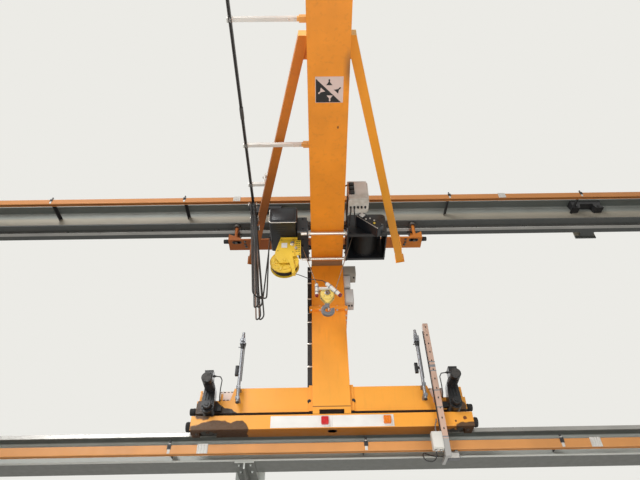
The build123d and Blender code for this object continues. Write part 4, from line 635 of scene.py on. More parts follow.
# Runway: rail clips, console bolts, clamps on the upper beam, bar hangers and the bars' joint clamps
LOW_RAIL_Y = -0.44
LOW_TOP = 0.237
clips = Piece("rail_clips", "runway", "runway_grey")
for clip_x, side in grid(steps(-5.45, 5.45, 21), SIDES):
    clips.at(clip_x, LOW_RAIL_Y + side * 0.0505, LOW_TOP)
    clips.block((-0.03, -0.025, 0), (0.03, 0.025, 0.014))
    clips.bolts([(0, 0, 0.014)], UP, 0.019, 0.011)

CLAMP_ARCH = (
    (-0.25, 3.835), (-0.12, 3.835), (-0.1, 3.92), (0.1, 3.92), (0.12, 3.835), (0.25, 3.835),
    (0.215, 3.9), (0.24, 3.986), (-0.24, 3.986), (-0.215, 3.9),
)
bolts, clamps = pieces("runway", console_bolts="runway_grey", beam_clamps="hanger_dark")
for column_x in (-5, 0, 5):
    move((bolts, clamps), column_x)
    bolts.bolts(grid((-0.06, 0.06), (-0.53, -0.35), -0.079), DOWN, 0.03, 0.019)
    bolts.bolts(grid((-0.06, 0.06), (-0.53, -0.35), -0.044), UP, 0.03, 0.016)
    clamps.plate([(x, -0.398, z) for x, z in CLAMP_ARCH], (0, 0.115, 0))
    clamps.bolts(grid((-0.17, 0.17), -0.398, 3.87), FRONT, 0.03, 0.016)

screws, straps, knobs, ribs = pieces(
    "runway", hanger_screws="hanger_dark", hanger_straps="clamp_grey", hanger_knobs="hanger_dark",
    clamp_ribs="clamp_grey"
)
for bar_front, bar_z, middle_x in ((-0.7, 0.025, 1.24), (-0.69, 3.815, 0.79)):
    for place in range(-3, 3):
        move((screws, straps, knobs), middle_x + 2 * place, bar_front, bar_z)
        screws.bolts([(0, -0.006, 0.026)], FRONT, 0.013, 0.008)
        screws.bolts([(0.012, 0.05, 0.053)], UP, 0.017, 0.012)
        straps.block((-0.014, -0.004, -0.042), (0.014, -0.0005, 0.04), 0.001)
        straps.turned((0, 0.012, 0.052), UP, [(0, 0.016), (0.012, 0.016), (0.014, 0.01)], 20)
        knobs.turned((0, 0.012, 0.066), UP, [(0, 0.01), (0.018, 0.012), (0.03, 0.011), (0.036, 0.006)], 20)
    for clamp_x in (-4.42, -0.42, 3.58):
        ribs.at(clamp_x, bar_front, bar_z)
        for shift in steps(-0.045, 0.045, 4):
            ribs.block((shift - 0.005, -0.011, -0.045), (shift + 0.005, -0.0045, 0.05), 0.0015)
        ribs.screws(grid((-0.03, 0.03), -0.005, 0), FRONT, 0.005)

# Mast: bolts of the splice, heads above and nuts below, and weld beads on mast and jib
LIP = 0.0155
SPLICE_Y = (MAST_FRONT - LIP, MAST_FRONT + 0.4 + LIP)
splice = Piece("splice_bolts", "crane", "rod_zinc")
for z, axis in ((1.686, UP), (1.64, DOWN)):
    splice.bolts(grid(steps(MAST_X[0] - 0.01, MAST_X[1] + 0.01, 5), SPLICE_Y, z), axis, 0.019, 0.013)
    splice.bolts(grid((MAST_X[0] - LIP, MAST_X[1] + LIP), steps(-0.71, -0.51, 3), z), axis, 0.019, 0.013)

welds = Piece("weld_beads", "crane", "crane_orange")
for x, y in grid(MAST_X, (MAST_FRONT, MAST_FRONT + 0.4)):
    welds.bead((x, y, 0.66), (x, y, 1.638), 0.003)
    welds.bead((x, y, 1.688), (x, y, JIB_UNDER), 0.003)
for x, z in grid((CRANE_X - 0.131, CRANE_X + 0.131), (JIB_UNDER + 0.027, 3.028)):
    welds.bead((x, -6.0, z), (x, -0.36, z), 0.006)
for y, z, radius in (
    (MAST_FRONT, JIB_UNDER - 0.002, 0.006),
    (MAST_FRONT - 0.001, 1.639, 0.004),
    (MAST_FRONT - 0.001, 1.687, 0.004),
):
    welds.bead((MAST_X[0], y, z), (MAST_X[1], y, z), radius)


# Sign under the jib: a pale square with a dark triangle on it and plain direction arrows
def arrow(piece, x, y, angle, z):
    """Flat arrow: a broad triangle with a round-ended shaft, pointing along an angle in plan."""
    half = [(0, 0.03), (0.034, 0.006), (0.058, 0.008)]
    outline = [(along, -aside) for along, aside in half] + [(0.066, 0)] + half[::-1]
    turn = Matrix.Rotation(angle, 3, "Z")
    piece.plate([Vector((x, y, z)) + turn @ Vector((*point, 0)) for point in outline], (0, 0, 0.0006))


pale, dark = pieces(
    "crane", CRANE_X + 0.008, -3.35, JIB_UNDER - 0.0015,
    sign_pale_face="panel_white", sign_dark_marks="saddle_black"
)
pale.finish = plain("sign_face", (224, 198, 188), 0.4).done()
pale.plate([(-0.135, -0.14, 0), (0.135, -0.14, 0), (0.135, 0.14, 0), (-0.135, 0.14, 0)], (0, 0, 0.0014))
dark.plate([(-0.129, -0.12, -0.0008), (0.115, 0.136, -0.0008), (-0.129, 0.136, -0.0008)], (0, 0, 0.0007))
arrow(dark, 0, -0.05, -pi / 2, -0.0008)
arrow(dark, 0.065, 0.02, -pi / 4, -0.0008)
arrow(pale, 0.005, 0.06, pi / 2, -0.0014)
arrow(pale, -0.06, -0.005, 3 * pi / 4, -0.0014)

# Upper carriage: a slot drawn as a dark sheet of painted shade with a bolt in it, and bolts under each end
slots, heads = pieces("crane", carriage_slots="drive_black", carriage_bolts="wheel_steel")
for side in SIDES:
    move((slots, heads), CRANE_X + side * 1.31, 0, HEAD_UNDER, side)
    for along in steps(-0.04, 0.04, 5):
        slots.turned((along, -0.33, -0.0015), DOWN, [(0, 0.03), (0.0015, 0.03), (0.0015, 0)], 24)
    heads.bolts([(0.012, -0.325, 0)], DOWN, 0.036, 0.016)
    under = ((-0.12, -0.345, 0), (-0.12, -0.285, 0), (-0.13, -0.235, 0), (-0.21, -0.3, 0))
    heads.bolts(under, DOWN, 0.027, 0.018)


# Travel drives
def drive_details(side, end_finish):
    """Motor fins, fan cowl, case ribs, bolts, terminal lid, gland and lead of one drive."""
    drive_x = CRANE_X + side * 1.29
    shaft_z = 0.3973
    motor_z = 0.612
    hand = "left" if side < 0 else "right"
    motor = Piece(f"motor_cowl_{hand}", "crane", "drive_black").at(drive_x, 0, motor_z)
    for fin_y in steps(-0.91, -1.02, 14):
        motor.turned((0, fin_y, 0), FRONT, [(0, 0.047), (0, 0.056), (0.0028, 0.056), (0.0028, 0.047)], 40)
    cowl = [(0, 0.05), (0.004, 0.057), (0.06, 0.057), (0.067, 0.05)]
    motor.turned((0, -1.035, 0), FRONT, [*cowl, (0.067, 0.02), (0.062, 0.018), (0.062, 0)], 40)
    rim = Piece(f"motor_end_{hand}", "crane", "cabinet_grey", end_finish).at(drive_x, -1.1015, motor_z)
    rim.turned((0, 0, 0), FRONT, [(0, 0.047), (0.0015, 0.046), (0.0015, 0)], 40)
    case = Piece(f"case_details_{hand}", "crane", "drive_black").at(drive_x, -0.898, motor_z)
    case.bolts(ring(0.0495, turns(6, 0.4)), FRONT, 0.009, 0.006)
    case.at(drive_x, -0.88, shaft_z, side)
    case.bolts(ring(0.055, turns(10)), FRONT, 0.01, 0.007)
    case.turned((0, -0.04, 0), FRONT, [(0, 0.044), (0.012, 0.04), (0.012, 0.022), (0.02, 0.02), (0.02, 0)])
    for rib_x in (-0.028, 0, 0.028):
        case.block((rib_x - 0.003, -0.009, 0.07), (rib_x + 0.003, 0.001, motor_z - shaft_z - 0.058))
    case.turned((0.03, 0, 0.12), FRONT, [(0, 0.011), (0.01, 0.01), (0.012, 0.007)], 6)
    lid = Piece(f"terminal_lid_{hand}", "crane", "drive_black").at(drive_x, 0, 0.722, side)
    lid.block((-0.047, -1.022, 0), (0.047, -0.908, 0.014), 0.005)
    lid.screws(grid((-0.037, 0.037), (-1.01, -0.92), 0.014), UP, 0.005)
    lid.turned((-0.045, -0.96, -0.027), LEFT, [(0, 0.013), (0.01, 0.013), (0.012, 0.01), (0.024, 0.009)], 6)
    lead = [
        (-0.067, -0.96, -0.027), (-0.115, -0.955, -0.032), (-0.13, -0.93, -0.057),
        (-0.115, -0.88, -0.122), (-0.105, -0.83, -0.192), (-0.1, -0.76, -0.217),
    ]
    lid.tube(lead, 0.0055)


motor_end = plain("motor_end", (62, 59, 56), 0.6)
motor_end.cover((38, 37, 35), motor_end.noise(45, 0.5, 0.7), roughness=0.7)
motor_end = motor_end.done()
for side in SIDES:
    drive_details(side, motor_end)

# Oil crust under the left drive, cable tray with its slots drawn as dark marks of painted shade, and lugs
# beside both
CRUST = (
    (-0.52, 0.372), (-0.09, 0.372), (-0.13, 0.392), (-0.15, 0.415), (-0.19, 0.425), (-0.23, 0.428),
    (-0.255, 0.45), (-0.28, 0.462), (-0.3, 0.49), (-0.325, 0.508), (-0.36, 0.512), (-0.52, 0.512),
)
grease = plain("old_grease", (52, 33, 17), 0.4, grain=60.0, depth=0.002, mottle=0.3).done()
crust = Piece("oil_crust_left", "crane", "crane_orange", grease)
crust.plate([(x, -0.761, z) for x, z in CRUST], (0, -0.003, 0))

tray, marks, lugs = pieces(
    "crane", cable_trays="post_tan", cable_tray_slots="saddle_black", beam_lugs="crane_orange"
)
tray.finish = plain("tray_pale", (252, 226, 212), 0.5).done()
for side in SIDES:
    move((tray, marks), CRANE_X + side * 1.11)
    tray.block((-0.095, -0.742, 0.516), (0.095, -0.739, 0.632), 0.001)
    tray.block((-0.095, -0.742, 0.516), (0.095, -0.69, 0.519), 0.001)
    for x, z in grid(steps(-0.078, 0.078, 5), (0.53, 0.621)):
        marks.block((x - 0.011, -0.7435, z - 0.004), (x + 0.011, -0.7415, z + 0.004), 0)
    lugs.at(CRANE_X, side=side)
    lugs.block((1.388, -0.75, 0.515), (1.412, -0.67, 0.64), 0.003)
    lugs.block((1.165, -0.75, 0.515), (1.185, -0.68, 0.6), 0.003)

# Guide roller beam: flange bolts, the oval hole in its middle drawn as a dark sheet of painted shade, and the
# bolts of its ends
BEAM_UNDER = 0.172
flange, beam = pieces("crane", CRANE_X, flange_bolts_and_hole="saddle_black", roller_beam_bolts="wheel_steel")
flange.bolts(grid((-0.234, 0.234), -0.761, 0.49), FRONT, 0.03, 0.022)
for along in steps(-0.018, 0.018, 5):
    flange.turned((along, -0.735, BEAM_UNDER), DOWN, [(0, 0.032), (0.001, 0.032), (0.001, 0)], 28)
beam.bolts(grid((-1.4, -1.2, 1.2, 1.4), -0.72, BEAM_UNDER), DOWN, 0.019, 0.012)

# Buffers: moulded rings and the steel plate behind each
BUFFERS = (
    (1.43, -0.65, 0.445, 0.038),
    (1.455, -0.715, 0.2495, 0.05),
    (1.435, -0.27, HEAD_UNDER + 0.075, 0.032),
)
rings, plates = pieces("crane", buffer_rings="buffer_rubber", buffer_plates="crane_orange")
for side in SIDES:
    move((rings, plates), CRANE_X, 0, 0, side)
    for *start, radius in BUFFERS:
        plates.disc(start, RIGHT, radius + 0.012, 0.006, 28)
        for first in (0.006, 0.03):
            moulding = [(first, radius), (first + 0.008, radius + 0.004), (first + 0.016, radius)]
            rings.turned(start, RIGHT, moulding, 28)

# Sensor posts: clamp bolts, sensor heads with lens, lever and lead
sensors, fittings = pieces("crane", sensor_heads="post_silver", sensor_fittings="saddle_black")
for side in SIDES:
    move((sensors, fittings), CRANE_X + side * 0.99, -0.85)
    sensors.bolts(grid((-0.016, 0.016), -0.022, (0.495, 0.62)), FRONT, 0.01, 0.007)
    head = [(0, 0.02), (0.05, 0.02), (0.055, 0.016), (0.09, 0.016), (0.094, 0.012)]
    sensors.turned((0, 0, 1.22), UP, head, 24)
    sensors.turned((0, -0.032, 1.185), FRONT, [(0, 0.018), (0.022, 0.018), (0.024, 0.012)], 24)
    sensors.block((-0.045, -0.01, 1.115), (0.02, 0.005, 1.121), 0.001)
    fittings.turned((0, 0, 0.455), DOWN, [(0, 0.0185), (0.012, 0.0185), (0.016, 0.015)], 24)
    fittings.turned((0, 0, 1.09), UP, [(0, 0.019), (0.04, 0.024), (0.058, 0.024)], 24)
    fittings.block((-0.06, 0.02, 0.78), (-0.022, 0.055, 0.9), 0.004)
    fittings.block((-0.03, 0.015, 0.82), (-0.01, 0.03, 0.85))
    fittings.tube([(0.021, 0.005, 1.2), (0.034, 0.01, 1.17), (0.024, 0.01, 1.1), (0.0215, 0.01, 0.7)], 0.004)

# Collector post: straps, slots drawn as dark marks of painted shade, and lead; junction box lid and glands;
# collector shoes
straps, slots = pieces(
    "crane", CRANE_X + 1.112, -0.87, post_straps="post_silver", post_slots_and_lead="saddle_black"
)
for z in (0.02, 0.33, 0.52, 0.75, 0.86):
    straps.block((-0.031, -0.031, z), (0.031, 0.031, z + 0.012), 0.001)
straps.block((-0.0305, -0.0305, 0.8), (0.0305, 0.0305, 0.83), 0.001)
for z in steps(0.1, 1.31, 12):
    slots.block((-0.006, -0.0305, z), (0.006, -0.028, z + 0.02), 0)
slots.tube([(-0.034, 0, 0.09), (-0.036, 0, 0.5), (-0.036, 0, 1.28)], 0.006)

box = Piece("junction_box_lid", "crane", "box_white")
box.block((1.878, -0.912, -0.088), (1.98, -0.8995, 0.073), 0.003)
box.screws(grid((1.888, 1.97), -0.912, (-0.078, 0.063)), FRONT, 0.005)
glands = Piece("junction_box_glands", "crane", "collector_grey")
for x in (1.903, 1.953):
    nut = [(0, 0.0135), (0.007, 0.0135), (0.007, 0.0115), (0.018, 0.0115)]
    glands.turned((x, -0.87, -0.095), DOWN, nut, 6)
glands.turned((1.93, -0.87, 0.08), UP, [(0, 0.013), (0.008, 0.013), (0.01, 0.01), (0.02, 0.009)], 6)
glands.tube([(1.93, -0.87, 0.098), (1.934, -0.872, 0.15), (1.955, -0.86, 0.2), (1.965, -0.83, 0.24)], 0.006)

shoes = Piece("collector_shoes", "crane", "clamp_grey")
for x in (2.05, 2.13):
    shoes.block((x + 0.004, -0.682, -0.1), (x + 0.034, -0.658, -0.03), 0.003)
    shoes.bolts(grid(x + 0.019, -0.682, (-0.085, -0.045)), FRONT, 0.009, 0.006)
shoes.block((2.05, -0.699, -0.108), (2.165, -0.6958, -0.055), 0.003)

# Lamp panel: corner screws, lamp frames, the seam in its middle and the lamps' domes
panel, seam, lens = pieces(
    "crane", CRANE_X, MAST_FRONT - 0.006,
    panel_fittings="panel_white", panel_seam="cabinet_grey", lamp_lenses="lamp_red"
)
panel.screws(grid(steps(-0.61, 0.61, 6), 0, (0.192, 0.294)), FRONT, 0.004)
for lamp_x in (-0.075, 0.565):
    panel.block((lamp_x - 0.046, -0.006, 0.195), (lamp_x + 0.046, 0.001, 0.289), 0.003)
    for dome in grid((lamp_x - 0.024, lamp_x, lamp_x + 0.024), -0.034, (0.218, 0.242, 0.266)):
        lens.turned(dome, FRONT, [(0, 0.0095), (0.003, 0.007), (0.004, 0)], 12)
seam.block((-0.0015, -0.0012, 0.184), (0.0015, 0.0005, 0.302), 0)

# Mast cabinets on the mast's right: doors, screws, glands and leads; straps of the duct on its left
doors, glands = pieces("crane", MAST_X[1], cabinet_doors="cabinet_grey", cabinet_glands="saddle_black")
for reach, low_z, top_z in ((0.17, 2.24, 2.38), (0.09, 2.04, 2.215), (0.12, 1.79, 1.995)):
    doors.block((0.008, -0.775, low_z + 0.008), (reach - 0.008, -0.768, top_z - 0.008))
    doors.screws(grid(reach - 0.018, -0.775, (low_z + 0.02, top_z - 0.02)), FRONT, 0.005)
    for x in steps(0.025, reach - 0.025, 3):
        glands.turned((x, -0.71, low_z), DOWN, [(0, 0.011), (0.008, 0.011), (0.01, 0.008), (0.02, 0.007)], 6)
    glands.tube([(0.03, -0.71, low_z - 0.018), (0.012, -0.7, low_z - 0.036)], 0.006)
duct = Piece("duct_straps", "crane", "rod_zinc").at(MAST_X[0])
for z in (0.9, 1.2, 1.5, 1.85, 2.1, 2.3):
    duct.block((-0.058, -0.763, z), (0.001, -0.697, z + 0.018))

# Festoon: bolts of the arms' feet, clamps on the track, joint sleeves and the saddles' rollers
arms = Piece("festoon_clamps", "crane", "festoon_zinc")
for arm_y in (-5.3, -3.89, -2.46):
    arms.at(TRACK_X, arm_y, TRACK_TOP)
    arms.block((-0.035, -0.024, -0.004), (0.02, 0.024, 0.044), 0.003)
    arms.bolts(grid((0.538, 0.608), 0, -0.009), DOWN, 0.017, 0.011)
    arms.bolts([(-0.026, 0, -0.004)], DOWN, 0.013, 0.009)
arms.at(TRACK_X, -1.885, TRACK_TOP)
arms.block((-0.035, -0.024, -0.004), (0.02, 0.024, 0.044), 0.003)
arms.bolts([(0.141, 0, 0.145)], LEFT, 0.022, 0.014)
track = Piece("track_sleeves", "crane", "track_dark").at(TRACK_X, 0, TRACK_TOP)
for y in (-4.7, -2.9):
    track.block((-0.019, y - 0.07, -0.034), (0.019, y + 0.07, -0.002))
track.block((-0.018, -1.2, -0.032), (0.018, -1.188, 0.001))
rollers = Piece("saddle_cheeks", "crane", "rod_zinc")
for saddle_y in (CLAMP_Y, CLAMP_Y - 1.5 * LOOP_W, CLAMP_Y - 3.5 * LOOP_W):
    for side in SIDES:
        rollers.at(TRACK_X, saddle_y, 0, side)
        for along in (-0.022, 0.022):
            rollers.disc((0.006, along, 2.7), RIGHT, 0.0065, 0.005, 16)
        rollers.block((0.042, -0.03, 2.63), (0.05, 0.03, 2.668))
    rollers.at(TRACK_X, saddle_y).bolts([(-0.05, 0, 2.65)], LEFT, 0.014, 0.009)

# Trolley: side frame bolts, wheel hubs, rod nuts and the rods' left ends
FRAME_BOLTS = ((-1.47, 2.44), (-0.97, 2.44), (-1.3, 2.36), (-1.14, 2.36), (-1.22, 2.52))
HUB = [(0, 0.034), (0.02, 0.034), (0.024, 0.028), (0.044, 0.026)]
RODS_Y = (-1.45, -0.99)
frames, nuts = pieces("trolley", frame_fittings="trolley_black", rod_nuts="rod_zinc")
for side in SIDES:
    move((frames, nuts), CRANE_X, 0, 0, side)
    frames.bolts([(0.232, y, z) for y, z in FRAME_BOLTS], LEFT, 0.018, 0.012)
    for wheel_y in (-1.4, -1.04):
        frames.turned((0.232, wheel_y, 2.4733), LEFT, HUB, 28)
    nuts.bolts(grid(0.232, RODS_Y, 2.32), LEFT, 0.046, 0.022)
nuts.at(CRANE_X)
for rod_y in RODS_Y:
    nuts.turned((-0.248, rod_y, 2.32), LEFT, [(0, 0.02), (0.07, 0.02), (0.074, 0.016)], 24)


# Drum: rope layers between the flanges; hood: bearing cap, ribs, end screws and lower edge
def winding(first, pitch, count, turn):
    """Profile of a wound rope or cable: the (along, radius) pairs of one turn, repeated at the pitch."""
    return [(first + pitch * number + along, radius) for number in range(count) for along, radius in turn]


DRUM = (CRANE_X + 0.485, 2.53)
HOOD_FACE = -1.39
rope = winding(0.008, 0.0104, 33, ((0, 0.1415), (0.0026, 0.149), (0.0078, 0.149)))
# The rope on the drum has a darker copy of the rope's finish
oiled = plain("oiled_rope", (52, 50, 48), 0.42, 0.5).done(0)
layers = Piece("drum_rope_layers", "trolley", "rope_wire", oiled)
layers.turned((DRUM[0], -0.978, DRUM[1]), FRONT, [(0, 0.141), *rope, (0.354, 0.141)], 48)
hood = Piece("hood_fittings", "trolley", "trolley_black").at(DRUM[0], HOOD_FACE, DRUM[1])
hood.turned((0, 0, 0), FRONT, [(0, 0.07), (0.008, 0.07), (0.01, 0.05), (0.018, 0.048), (0.018, 0)])
hood.bolts(ring(0.06, turns(8, 0.3), -0.008), FRONT, 0.011, 0.007)
hood.at(CRANE_X)
for y in steps(-1.35, -0.96, 4):
    hood.block((0.735, y - 0.005, 2.37), (0.742, y + 0.005, 2.66))
hood.bolts(grid((0.28, 0.7), HOOD_FACE, (2.4, 2.65)), FRONT, 0.014, 0.009)
hood.block((0.25, -1.396, 2.352), (0.733, -1.386, 2.372))

# Control box: bare label, buttons, a bright strip along its edge as a painted highlight, and seams
CONTROL_TURN = Matrix.Rotation(radians(43), 4, "Y")
CONTROL_CENTRE = Vector((CRANE_X + 0.518, -1.53, 2.458))


def on_control(along, up, out=0.0):
    """Point on the control box's tilted face, from its centre."""
    return CONTROL_CENTRE + CONTROL_TURN @ Vector((along, -out, up))


label, buttons, lamp, edge, seams = pieces(
    "trolley", control_label="panel_white", control_buttons="box_white", control_lamp="reel_yellow",
    control_edge="rod_zinc", control_seams="cover_black"
)
label.box(on_control(-0.125, 0.008, 0.001), (0.062, 0.002, 0.062), 0.001, CONTROL_TURN)
for along, up in ((-0.045, -0.018), (-0.015, 0.024), (0.045, 0.032)):
    buttons.turned(on_control(along, up), FRONT, [(0, 0.011), (0.005, 0.011), (0.008, 0.007), (0.009, 0)], 20)
lamp.turned(on_control(0.075, -0.004), FRONT, [(0, 0.014), (0.006, 0.014), (0.01, 0.009), (0.011, 0)], 20)
edge.box(on_control(0.0, -0.05, 0.002), (0.33, 0.004, 0.006), 0.001, CONTROL_TURN)
edge.screws([on_control(*place) for place in grid((-0.155, 0.155), (-0.042, 0.042))], FRONT, 0.005)
for along in (0.03, -0.085):
    seams.box(on_control(along, 0.0, 0.0006), (0.004, 0.0012, 0.1), 0, CONTROL_TURN)

# Electrical cabinet: lid, screws, glands, plugs and leads, from its front left edge
cabinet, plugs = pieces(
    "trolley", CRANE_X + 0.248, -1.87, cabinet_lid="box_white", cabinet_plugs="saddle_black"
)
cabinet.block((0.006, -0.012, 2.456), (0.226, 0.001, 2.774), 0.004)
cabinet.block((0.23, 0.01, 2.46), (0.244, 0.2, 2.77), 0.004)
cabinet.screws(grid((0.02, 0.212), -0.012, (2.47, 2.76)), FRONT)
for x in steps(0.03, 0.202, 5):
    plugs.turned((x, 0.11, 2.45), DOWN, [(0, 0.014), (0.009, 0.014), (0.011, 0.011), (0.028, 0.009)], 6)
for z in (2.53, 2.6, 2.67):
    plugs.block((0.012, -0.05, z), (0.075, -0.01, z + 0.045), 0.006)
for x in (0.05, 0.12):
    plugs.block((x - 0.025, 0.08, 2.778), (x + 0.025, 0.14, 2.83), 0.006)
plugs.tube([(0.05, 0.11, 2.83), (0.03, 0.12, 2.87), (-0.04, 0.15, 2.86), (-0.1, 0.21, 2.8)], 0.009)
plugs.tube([(0.03, 0.11, 2.424), (0.028, 0.13, 2.39), (0.02, 0.27, 2.37), (0.02, 0.37, 2.4)], 0.008)
plugs.tube([(0.07, 0.11, 2.424), (0.07, 0.14, 2.395), (0.09, 0.27, 2.385), (0.1, 0.42, 2.42)], 0.007)

# Motor cover: a bright rim down its left side and round below as a painted highlight, recessed panel, vents
# and gear case bolts
COVER_X = (-0.7, -0.364)
COVER_Z = (2.375, 2.63)
CORNER = 0.03
rim = [(COVER_X[0], -1.59, COVER_Z[1] - CORNER)]
for centre_x, first, count in ((COVER_X[0] + CORNER, pi, 7), (COVER_X[1] - CORNER, 3 * pi / 2, 4)):
    for x, y, z in ring(CORNER, turns(24, first)[:count], -1.59):
        rim.append((centre_x + x, y, COVER_Z[0] + CORNER + z))
cover, vents = pieces("trolley", CRANE_X, cover_bright_rim="rod_zinc", cover_vents_and_bolts="cover_black")
for start, end in zip(rim, rim[1:]):
    cover.bar(start, end, 0.0055, 8)
vents.block((-0.67, -1.604, 2.405), (-0.394, -1.598, 2.6), 0.006)
for y in steps(-1.5, -1.2, 9):
    vents.block((-0.704, y - 0.006, 2.435), (-0.698, y + 0.006, 2.57))
    vents.block((-0.62, y - 0.006, 2.372), (-0.504, y + 0.006, 2.377), 0.0015)
vents.bolts(grid(-0.3, steps(-1.44, -1.0, 5), 2.33), DOWN, 0.018, 0.012)
vents.bolts(grid(-0.3, -1.48, (2.38, 2.55)), FRONT, 0.018, 0.012)

# Reel: spokes and raised rings on the front disc, its hub and the wound cable
reel, wound = pieces(
    "trolley", CRANE_X - 0.518, 0, 2.002, reel_spokes="reel_yellow", reel_wound_cable="cable_black"
)
for angle in turns(6, 0.2):
    reel.box(*ring(0.1, [angle], -1.309), (0.09, 0.006, 0.018), turn=Matrix.Rotation(-angle, 4, "Y"))
for radius in (0.166, 0.118):
    circle = ring(radius, turns(48), -1.306)
    for start, end in zip(circle, circle[1:] + circle[:1]):
        reel.bar(start, end, 0.004, 8)
hub = [(0, 0.038), (0.012, 0.036), (0.012, 0.018), (0.02, 0.016), (0.02, 0)]
reel.turned((0, -1.3251, 0), FRONT, hub, 28)
layers = winding(0.004, 0.0098, 7, ((0, 0.15), (0.0024, 0.156), (0.007, 0.156), (0.0094, 0.15)))
wound.turned((0, -1.218, 0), FRONT, [(0, 0.12), *layers, (0.075, 0.12)], 48)

# Reel carrier: screws, slots drawn as dark marks of painted shade, bare label, glands and folded edges
carrier, label, gland, folds = pieces(
    "trolley", CRANE_X, -1.335, carrier_screws_and_slots="saddle_black", carrier_label="panel_white",
    carrier_gland="rod_zinc", carrier_folds="reel_yellow"
)
places = ((-0.6, 2.15), (-0.56, 2.33), (-0.42, 2.33), (-0.42, 2.13), (-0.34, 2.1), (-0.345, 2.31))
carrier.screws([(x, 0, z) for x, z in places], FRONT)
for x, z in grid((-0.372, -0.345), steps(2.14, 2.3, 6)):
    carrier.block((x - 0.008, -0.001, z - 0.006), (x + 0.008, 0.002, z + 0.006), 0)
label.block((-0.56, -0.0015, 2.2), (-0.49, 0.001, 2.28), 0)
high = [(0, 0.03), (0.012, 0.03), (0.014, 0.022), (0.03, 0.02), (0.03, 0)]
low = [(0, 0.02), (0.01, 0.02), (0.012, 0.014), (0.02, 0.013), (0.02, 0)]
gland.turned((-0.425, 0, 2.26), FRONT, high, 28)
gland.turned((-0.385, 0, 2.19), FRONT, low, 24)
folds.block((-0.57, -0.014, 2.35), (-0.35, 0.002, 2.365))
folds.block((-0.402, -0.018, 2.09), (-0.396, 0.001, 2.34), 0.001)

# Hook block: chrome cap with bolts, cheek screws and the pins of the rope guard
CAP = [(0, 0.033), (0.006, 0.032), (0.009, 0.024)]
cap, cheeks = pieces(
    "hook_block", BLOCK_X, TROLLEY_Y, BLOCK_Z, block_cap="rod_zinc", block_screws="sheave_steel"
)
cap.finish = plain("cap_chrome", (132, 128, 124), 0.22, 0.95).done()
cap.turned((0, -0.049, 0), FRONT, [*CAP, (0.009, 0.012), (0.006, 0.01), (0.006, 0)], 36)
cap.turned((0, 0.049, 0), REAR, [*CAP, (0.009, 0)], 36)
cap.bolts(ring(0.022, turns(4, pi / 4), -0.057), FRONT, 0.008, 0.005)
for side in SIDES:
    cheeks.screws(ring(0.056, (0.5, 2.6, 4.0, 5.4), side * 0.0425), (0, side, 0))
for pin in ring(0.079, (0.75, 2.39, 3.6, 5.8), -0.017):
    cheeks.disc(pin, REAR, 0.004, 0.034, 12)

# Signal lamps on the block, from top to end: bright caps, and collars with end pieces
caps, collars = pieces("hook_block", lamp_end_caps="lamp_red", lamp_collars="post_silver")
for start, end, radius in (
    (Vector((CRANE_X - 0.024, LAMP_Y, 1.666)), Vector((CRANE_X + 0.116, LAMP_Y, 1.507)), 0.024),
    (Vector((CRANE_X - 0.14, LAMP_Y, 1.658)), Vector((CRANE_X - 0.14, LAMP_Y, 1.508)), 0.019),
):
    along = (end - start).normalized()
    caps.turned(end, along, [(0, radius), (0.018, radius), (0.026, radius * 0.8), (0.03, 0)], 28)
    collars.turned(start, -along, [(0, radius * 0.8), (0.012, radius * 0.7), (0.02, radius * 0.4)], 28)
    collar = [(0, radius), (0.001, radius + 0.004), (0.012, radius + 0.004), (0.013, radius)]
    for share in (0.25, 0.72):
        collars.turned(start.lerp(end, share), along, collar, 28)

# Rope falls: two straight bars, with rings only at their ends
falls = Piece("rope_falls_line", None, "rope_wire").at(0, TROLLEY_Y)
falls.bar((BLOCK_X - 0.0673, 0, 1.5346), (CRANE_X - 0.3157, 0, 2.328), 0.005)
falls.bar((BLOCK_X + 0.0673, 0, 1.5346), (CRANE_X + 0.3338, 0, 2.53), 0.005)

# Hook: spring latch across the throat and the collar under the block
latch = Piece("hook_latch", "hook", "rod_zinc").at(BLOCK_X, TROLLEY_Y)
latch.block((0.002, -0.012, 1.35), (0.012, 0.012, 1.405), turn=Matrix.Rotation(radians(-28), 4, "Y"))
latch.turned((0, 0, 1.4225), UP, [(0, 0.024), (0.0035, 0.024), (0.004, 0.018)], 28)

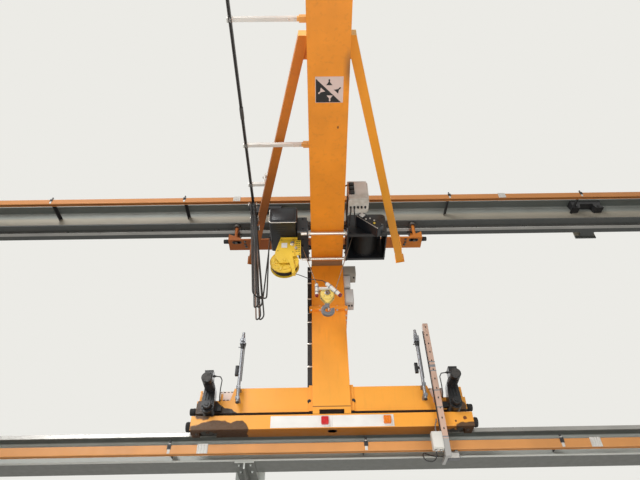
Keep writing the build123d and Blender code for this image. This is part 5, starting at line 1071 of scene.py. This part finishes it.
shown = {piece.name: piece.done() for piece in Piece.made}
falls = shown["rope_falls_line"]
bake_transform(falls)
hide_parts("rope_falls")


# Floor and background, pale to the camera and dimmer as light. The floor is clear from below
PALE = screen(236, 235, 230)
ground = bpy.data.meshes.new("floor")
corners = [(x, y, FLOOR_Z) for x, y in ((-40, -40), (40, -40), (40, 40), (-40, 40))]
ground.from_pydata(corners, [], [(0, 1, 2, 3)])
floor = show("floor", ground)
finish = Finish("floor", (226, 224, 218), 0.8, mottle=0.02)
ground.materials.append(finish.done(0))
share = finish.maths("MULTIPLY", finish.direct(), 0.72)
glow = finish.node("Emission", Color=PALE).outputs[0]
lit = finish.node("MixShader", share, finish.shader.outputs[0], glow).outputs[0]
below = finish.node("NewGeometry").outputs["Backfacing"]
seen = finish.node("MixShader", below, lit, finish.node("BsdfTransparent").outputs[0])
finish.links.new(seen.outputs[0], finish.nodes["Material Output"].inputs["Surface"])

world = bpy.data.worlds.new("world")
bpy.context.scene.world = world
sky = Nodes(world)
ambient = sky.node("Background", Color=(1, 1, 1, 1), Strength=0.24).outputs[0]
pale = sky.node("Background", Color=PALE, Strength=1.0).outputs[0]
chosen = sky.node("MixShader", sky.direct(), ambient, pale)
sky.links.new(chosen.outputs[0], sky.nodes["World Output"].inputs["Surface"])


def area_light(name, place, target, size, power):
    """Soft square lamp that points from a place at a target."""
    data = bpy.data.lights.new(name, "AREA")
    data.size = size
    data.energy = power
    aim = Vector(target) - Vector(place)
    turn = aim.to_track_quat("-Z", "Y").to_matrix().to_4x4()
    show(name, data).matrix_world = Matrix.Translation(place) @ turn


area_light("key", (-4.5, -9.0, 6.5), (0.9, -1.0, 1.2), 5.0, 720)
area_light("fill", (6.5, -8.0, -1.5), (0.9, -1.0, 1.5), 6.0, 130)
area_light("bounce", (0.9, -5.0, -3.6), (0.9, -1.5, 2.4), 5.0, 180)
area_light("back", (0.9, 7.0, 5.0), (0.9, 0, 2.0), 6.0, 240)

bpy.context.scene.view_settings.view_transform = "Standard"
